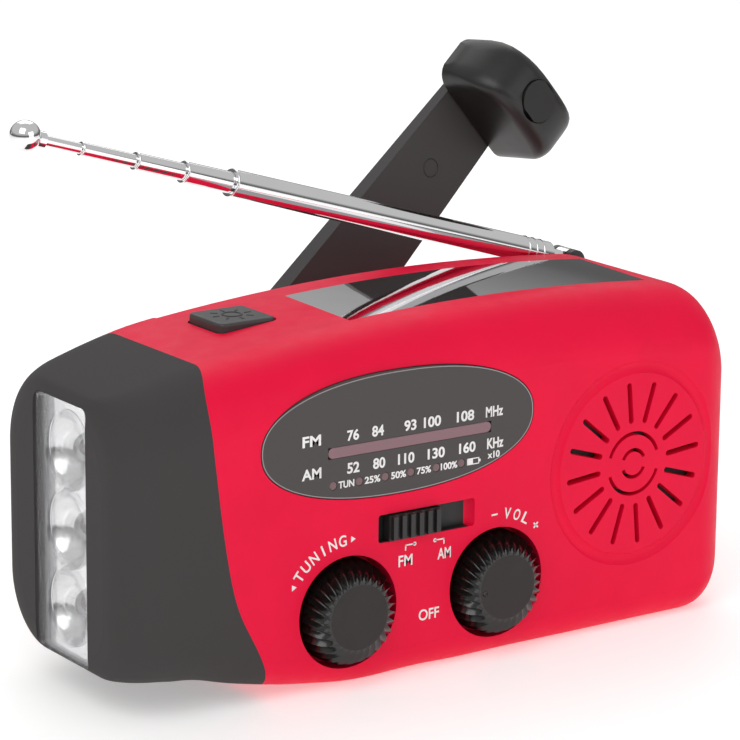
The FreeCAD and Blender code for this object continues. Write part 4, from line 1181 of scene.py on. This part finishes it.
@dataclass
class SwitchLiner:
    """The dark tray behind the band slider, and the red ramp at its right end."""

    low_x: float = -15.42
    high_x: float = 3.55
    low_z: float = 24.72
    high_z: float = 29.58
    front: float = -22.35
    floor: float = -20.93

    def build(self) -> None:
        """Makes the tray and the ramp."""
        clear_selection()
        bpy.ops.mesh.primitive_cube_add(size=1)
        tray = start("switch_tray")
        tray.scale = (
            (self.high_x - self.low_x) * MM,
            (self.floor - self.front) * MM,
            (self.high_z - self.low_z) * MM,
        )
        tray.location = (
            (self.high_x + self.low_x) / 2 * MM,
            (self.floor + self.front) / 2 * MM,
            (self.high_z + self.low_z) / 2 * MM,
        )
        settle(tray)
        with editing(tray):
            shape = bmesh.from_edit_mesh(tray.data)
            front = [
                face for face in shape.faces if face.normal.y < -0.5 or face.normal.x > 0.5
            ]
            bmesh.ops.delete(shape, geom=front, context="FACES_ONLY")
            bmesh.update_edit_mesh(tray.data)
        add_modifier(tray, "SOLIDIFY", thickness=0.06 * MM, offset=-1.0)
        finish_piece(tray, "case", TRAY_BLACK)
        ramp = skin("switch_ramp", [self._ramp(z) for z in (24.7, 27.15, 29.6)])
        smooth(ramp)
        finish_piece(ramp, "case", SOFT_RED)

    def _ramp(self, z: float) -> list[Vector]:
        """The ramp's outline at a height: a hollow curve up to the case's face."""
        steps = [step / 8 for step in range(9)]
        points = [
            Vector((3.5 + 1.3 * share, -20.97 - 1.35 * share**1.8, z)) for share in steps
        ]
        return [*points, Vector((4.8, -20.95, z)), Vector((4.1, -20.93, z))]


@dataclass
class ArmMark:
    """The small round mark moulded in the crank arm's front."""

    along: float = 49.8
    across: float = 0.0
    radius: float = 1.75
    front: float = -2.2

    def build(self) -> None:
        """Makes the mark as a low ring on the arm."""
        joints = {joint["name"]: joint for joint in frame["joints"]}
        pin = Vector(joints["crank_fold"]["pos_m"])
        turned = CrankGrip().arm_frame().to_3x3().to_4x4()
        clear_selection()
        bpy.ops.mesh.primitive_torus_add(
            major_radius=self.radius * MM, minor_radius=0.1 * MM, major_segments=48,
            minor_segments=10, location=(self.along * MM, self.across * MM, self.front * MM),
        )  # fmt: skip
        mark = settle(start("arm_mark"), Matrix.Translation(pin) @ turned)
        smooth(mark, 60)
        finish_piece(mark, "folding_arm", GRIP_BLACK)


# ------------------------------------------------------------------ studio


@dataclass
class Studio:
    """A plain pale floor, soft lights and the camera."""

    camera_place: Point = (-0.3267, -0.4683, 0.1898)
    yaw: float = 34.74
    pitch: float = -13.91
    roll: float = 0.53
    lens: float = 162.0

    def build(self) -> None:
        """Sets up the whole studio."""
        self._camera()
        self._floor()
        self._world()
        self._lamp("key", (-0.55, -0.35, 0.75), 0.6, 2.6)
        self._lamp("front_fill", (0.25, -0.9, 0.35), 0.7, 1.4)
        self._lamp("back_top", (0.3, 0.6, 0.8), 0.8, 2.4)
        bpy.context.scene.view_settings.view_transform = "Standard"
        bpy.context.scene.view_settings.look = "None"

    def _camera(self) -> None:
        """Places the camera."""
        lens = bpy.data.cameras.new("camera")
        lens.lens = self.lens
        lens.sensor_width = 36.0
        lens.clip_start = 0.01
        lens.clip_end = 50.0
        camera = bpy.data.objects.new("camera", lens)
        bpy.context.scene.collection.objects.link(camera)
        yaw, pitch = math.radians(self.yaw), math.radians(self.pitch)
        forward = Vector((
            math.sin(yaw) * math.cos(pitch), math.cos(yaw) * math.cos(pitch), math.sin(pitch),
        ))  # fmt: skip
        camera.location = self.camera_place
        camera.rotation_mode = "QUATERNION"
        level = forward.to_track_quat("-Z", "Y")
        camera.rotation_quaternion = level @ Quaternion((0, 0, 1), math.radians(self.roll))
        bpy.context.scene.camera = camera

    def _floor(self) -> None:
        """Lays the floor."""
        clear_selection()
        bpy.ops.mesh.primitive_plane_add(size=12.0, location=(0, 0, -0.0001))
        floor = start("floor")
        floor.data.materials.append(
            FLOOR_WHITE.material()
        )

    def _world(self) -> None:
        """Lights the scene from a pale sky with a darker horizon."""
        world = bpy.data.worlds.new("studio")
        bpy.context.scene.world = world
        world.use_nodes = True
        tree = world.node_tree
        back = tree.nodes["Background"]
        place = tree.nodes.new("ShaderNodeTexCoord")
        apart = tree.nodes.new("ShaderNodeSeparateXYZ")
        ramp = tree.nodes.new("ShaderNodeValToRGB")
        lift = tree.nodes.new("ShaderNodeMapRange")
        lift.inputs["From Min"].default_value = -1.0
        lift.inputs["From Max"].default_value = 1.0
        tree.links.new(place.outputs["Generated"], apart.inputs["Vector"])
        tree.links.new(apart.outputs["Z"], lift.inputs["Value"])
        tree.links.new(lift.outputs["Result"], ramp.inputs["Fac"])
        tree.links.new(ramp.outputs["Color"], back.inputs["Color"])
        stops = ramp.color_ramp.elements
        stops[0].position, stops[0].color = 0.0, (0.8, 0.8, 0.8, 1)
        stops[1].position, stops[1].color = 1.0, (1.0, 1.0, 1.0, 1)
        for position, value in ((0.49, 0.30), (0.56, 0.22), (0.66, 1.0)):
            stop = stops.new(position)
            stop.color = (value, value, value, 1)
        back.inputs["Strength"].default_value = 0.55

    def _lamp(self, name: str, place: Point, size: float, power: float) -> None:
        """Hangs one soft square light, aimed at the radio.

        Args:
            name: The light's name.
            place: Where it hangs, in metres.
            size: Its side, in metres.
            power: Its power, in watts.
        """
        light = bpy.data.lights.new(name, "AREA")
        light.size = size
        light.energy = power
        lamp = bpy.data.objects.new(name, light)
        bpy.context.scene.collection.objects.link(lamp)
        lamp.location = place
        aim = Vector((0, 0, 0.04)) - Vector(place)
        lamp.rotation_mode = "QUATERNION"
        lamp.rotation_quaternion = aim.to_track_quat("-Z", "Y")


# ------------------------------------------------------------------ the radio


def dress_nodes() -> None:
    """Gives every carried-over solid its finish."""
    for finish, names in NODE_FINISHES.items():
        for name in names.split():
            node = frame["nodes"][name]
            node.data.materials.clear()
            node.data.materials.append(finish.material())
    bare = set(frame["nodes"]) - {name for names in NODE_FINISHES.values() for name in names.split()}
    log.info("%d solids dressed, left bare: %s", len(frame["nodes"]), sorted(bare))


def main() -> None:
    """Builds the radio's fine pieces in order, and the studio."""
    logging.basicConfig(level=logging.INFO, format="%(message)s")
    dress_nodes()
    FrontLegends().build()
    Dial().build()
    FlutedKnob("tuning_fluted_knob", "tuning_knob", "tuning", -21.6).build()
    FlutedKnob("volume_fluted_knob", "volume_knob", "volume", 9.7, dimple=True).build()
    CrankGrip().build()
    LampButtonIcon().build()
    AntennaCollars().build()
    TorchReflector().build()
    GrilleCloth().build()
    SwitchLiner().build()
    ArmMark().build()
    Studio().build()


if __name__ == "__main__":
    main()
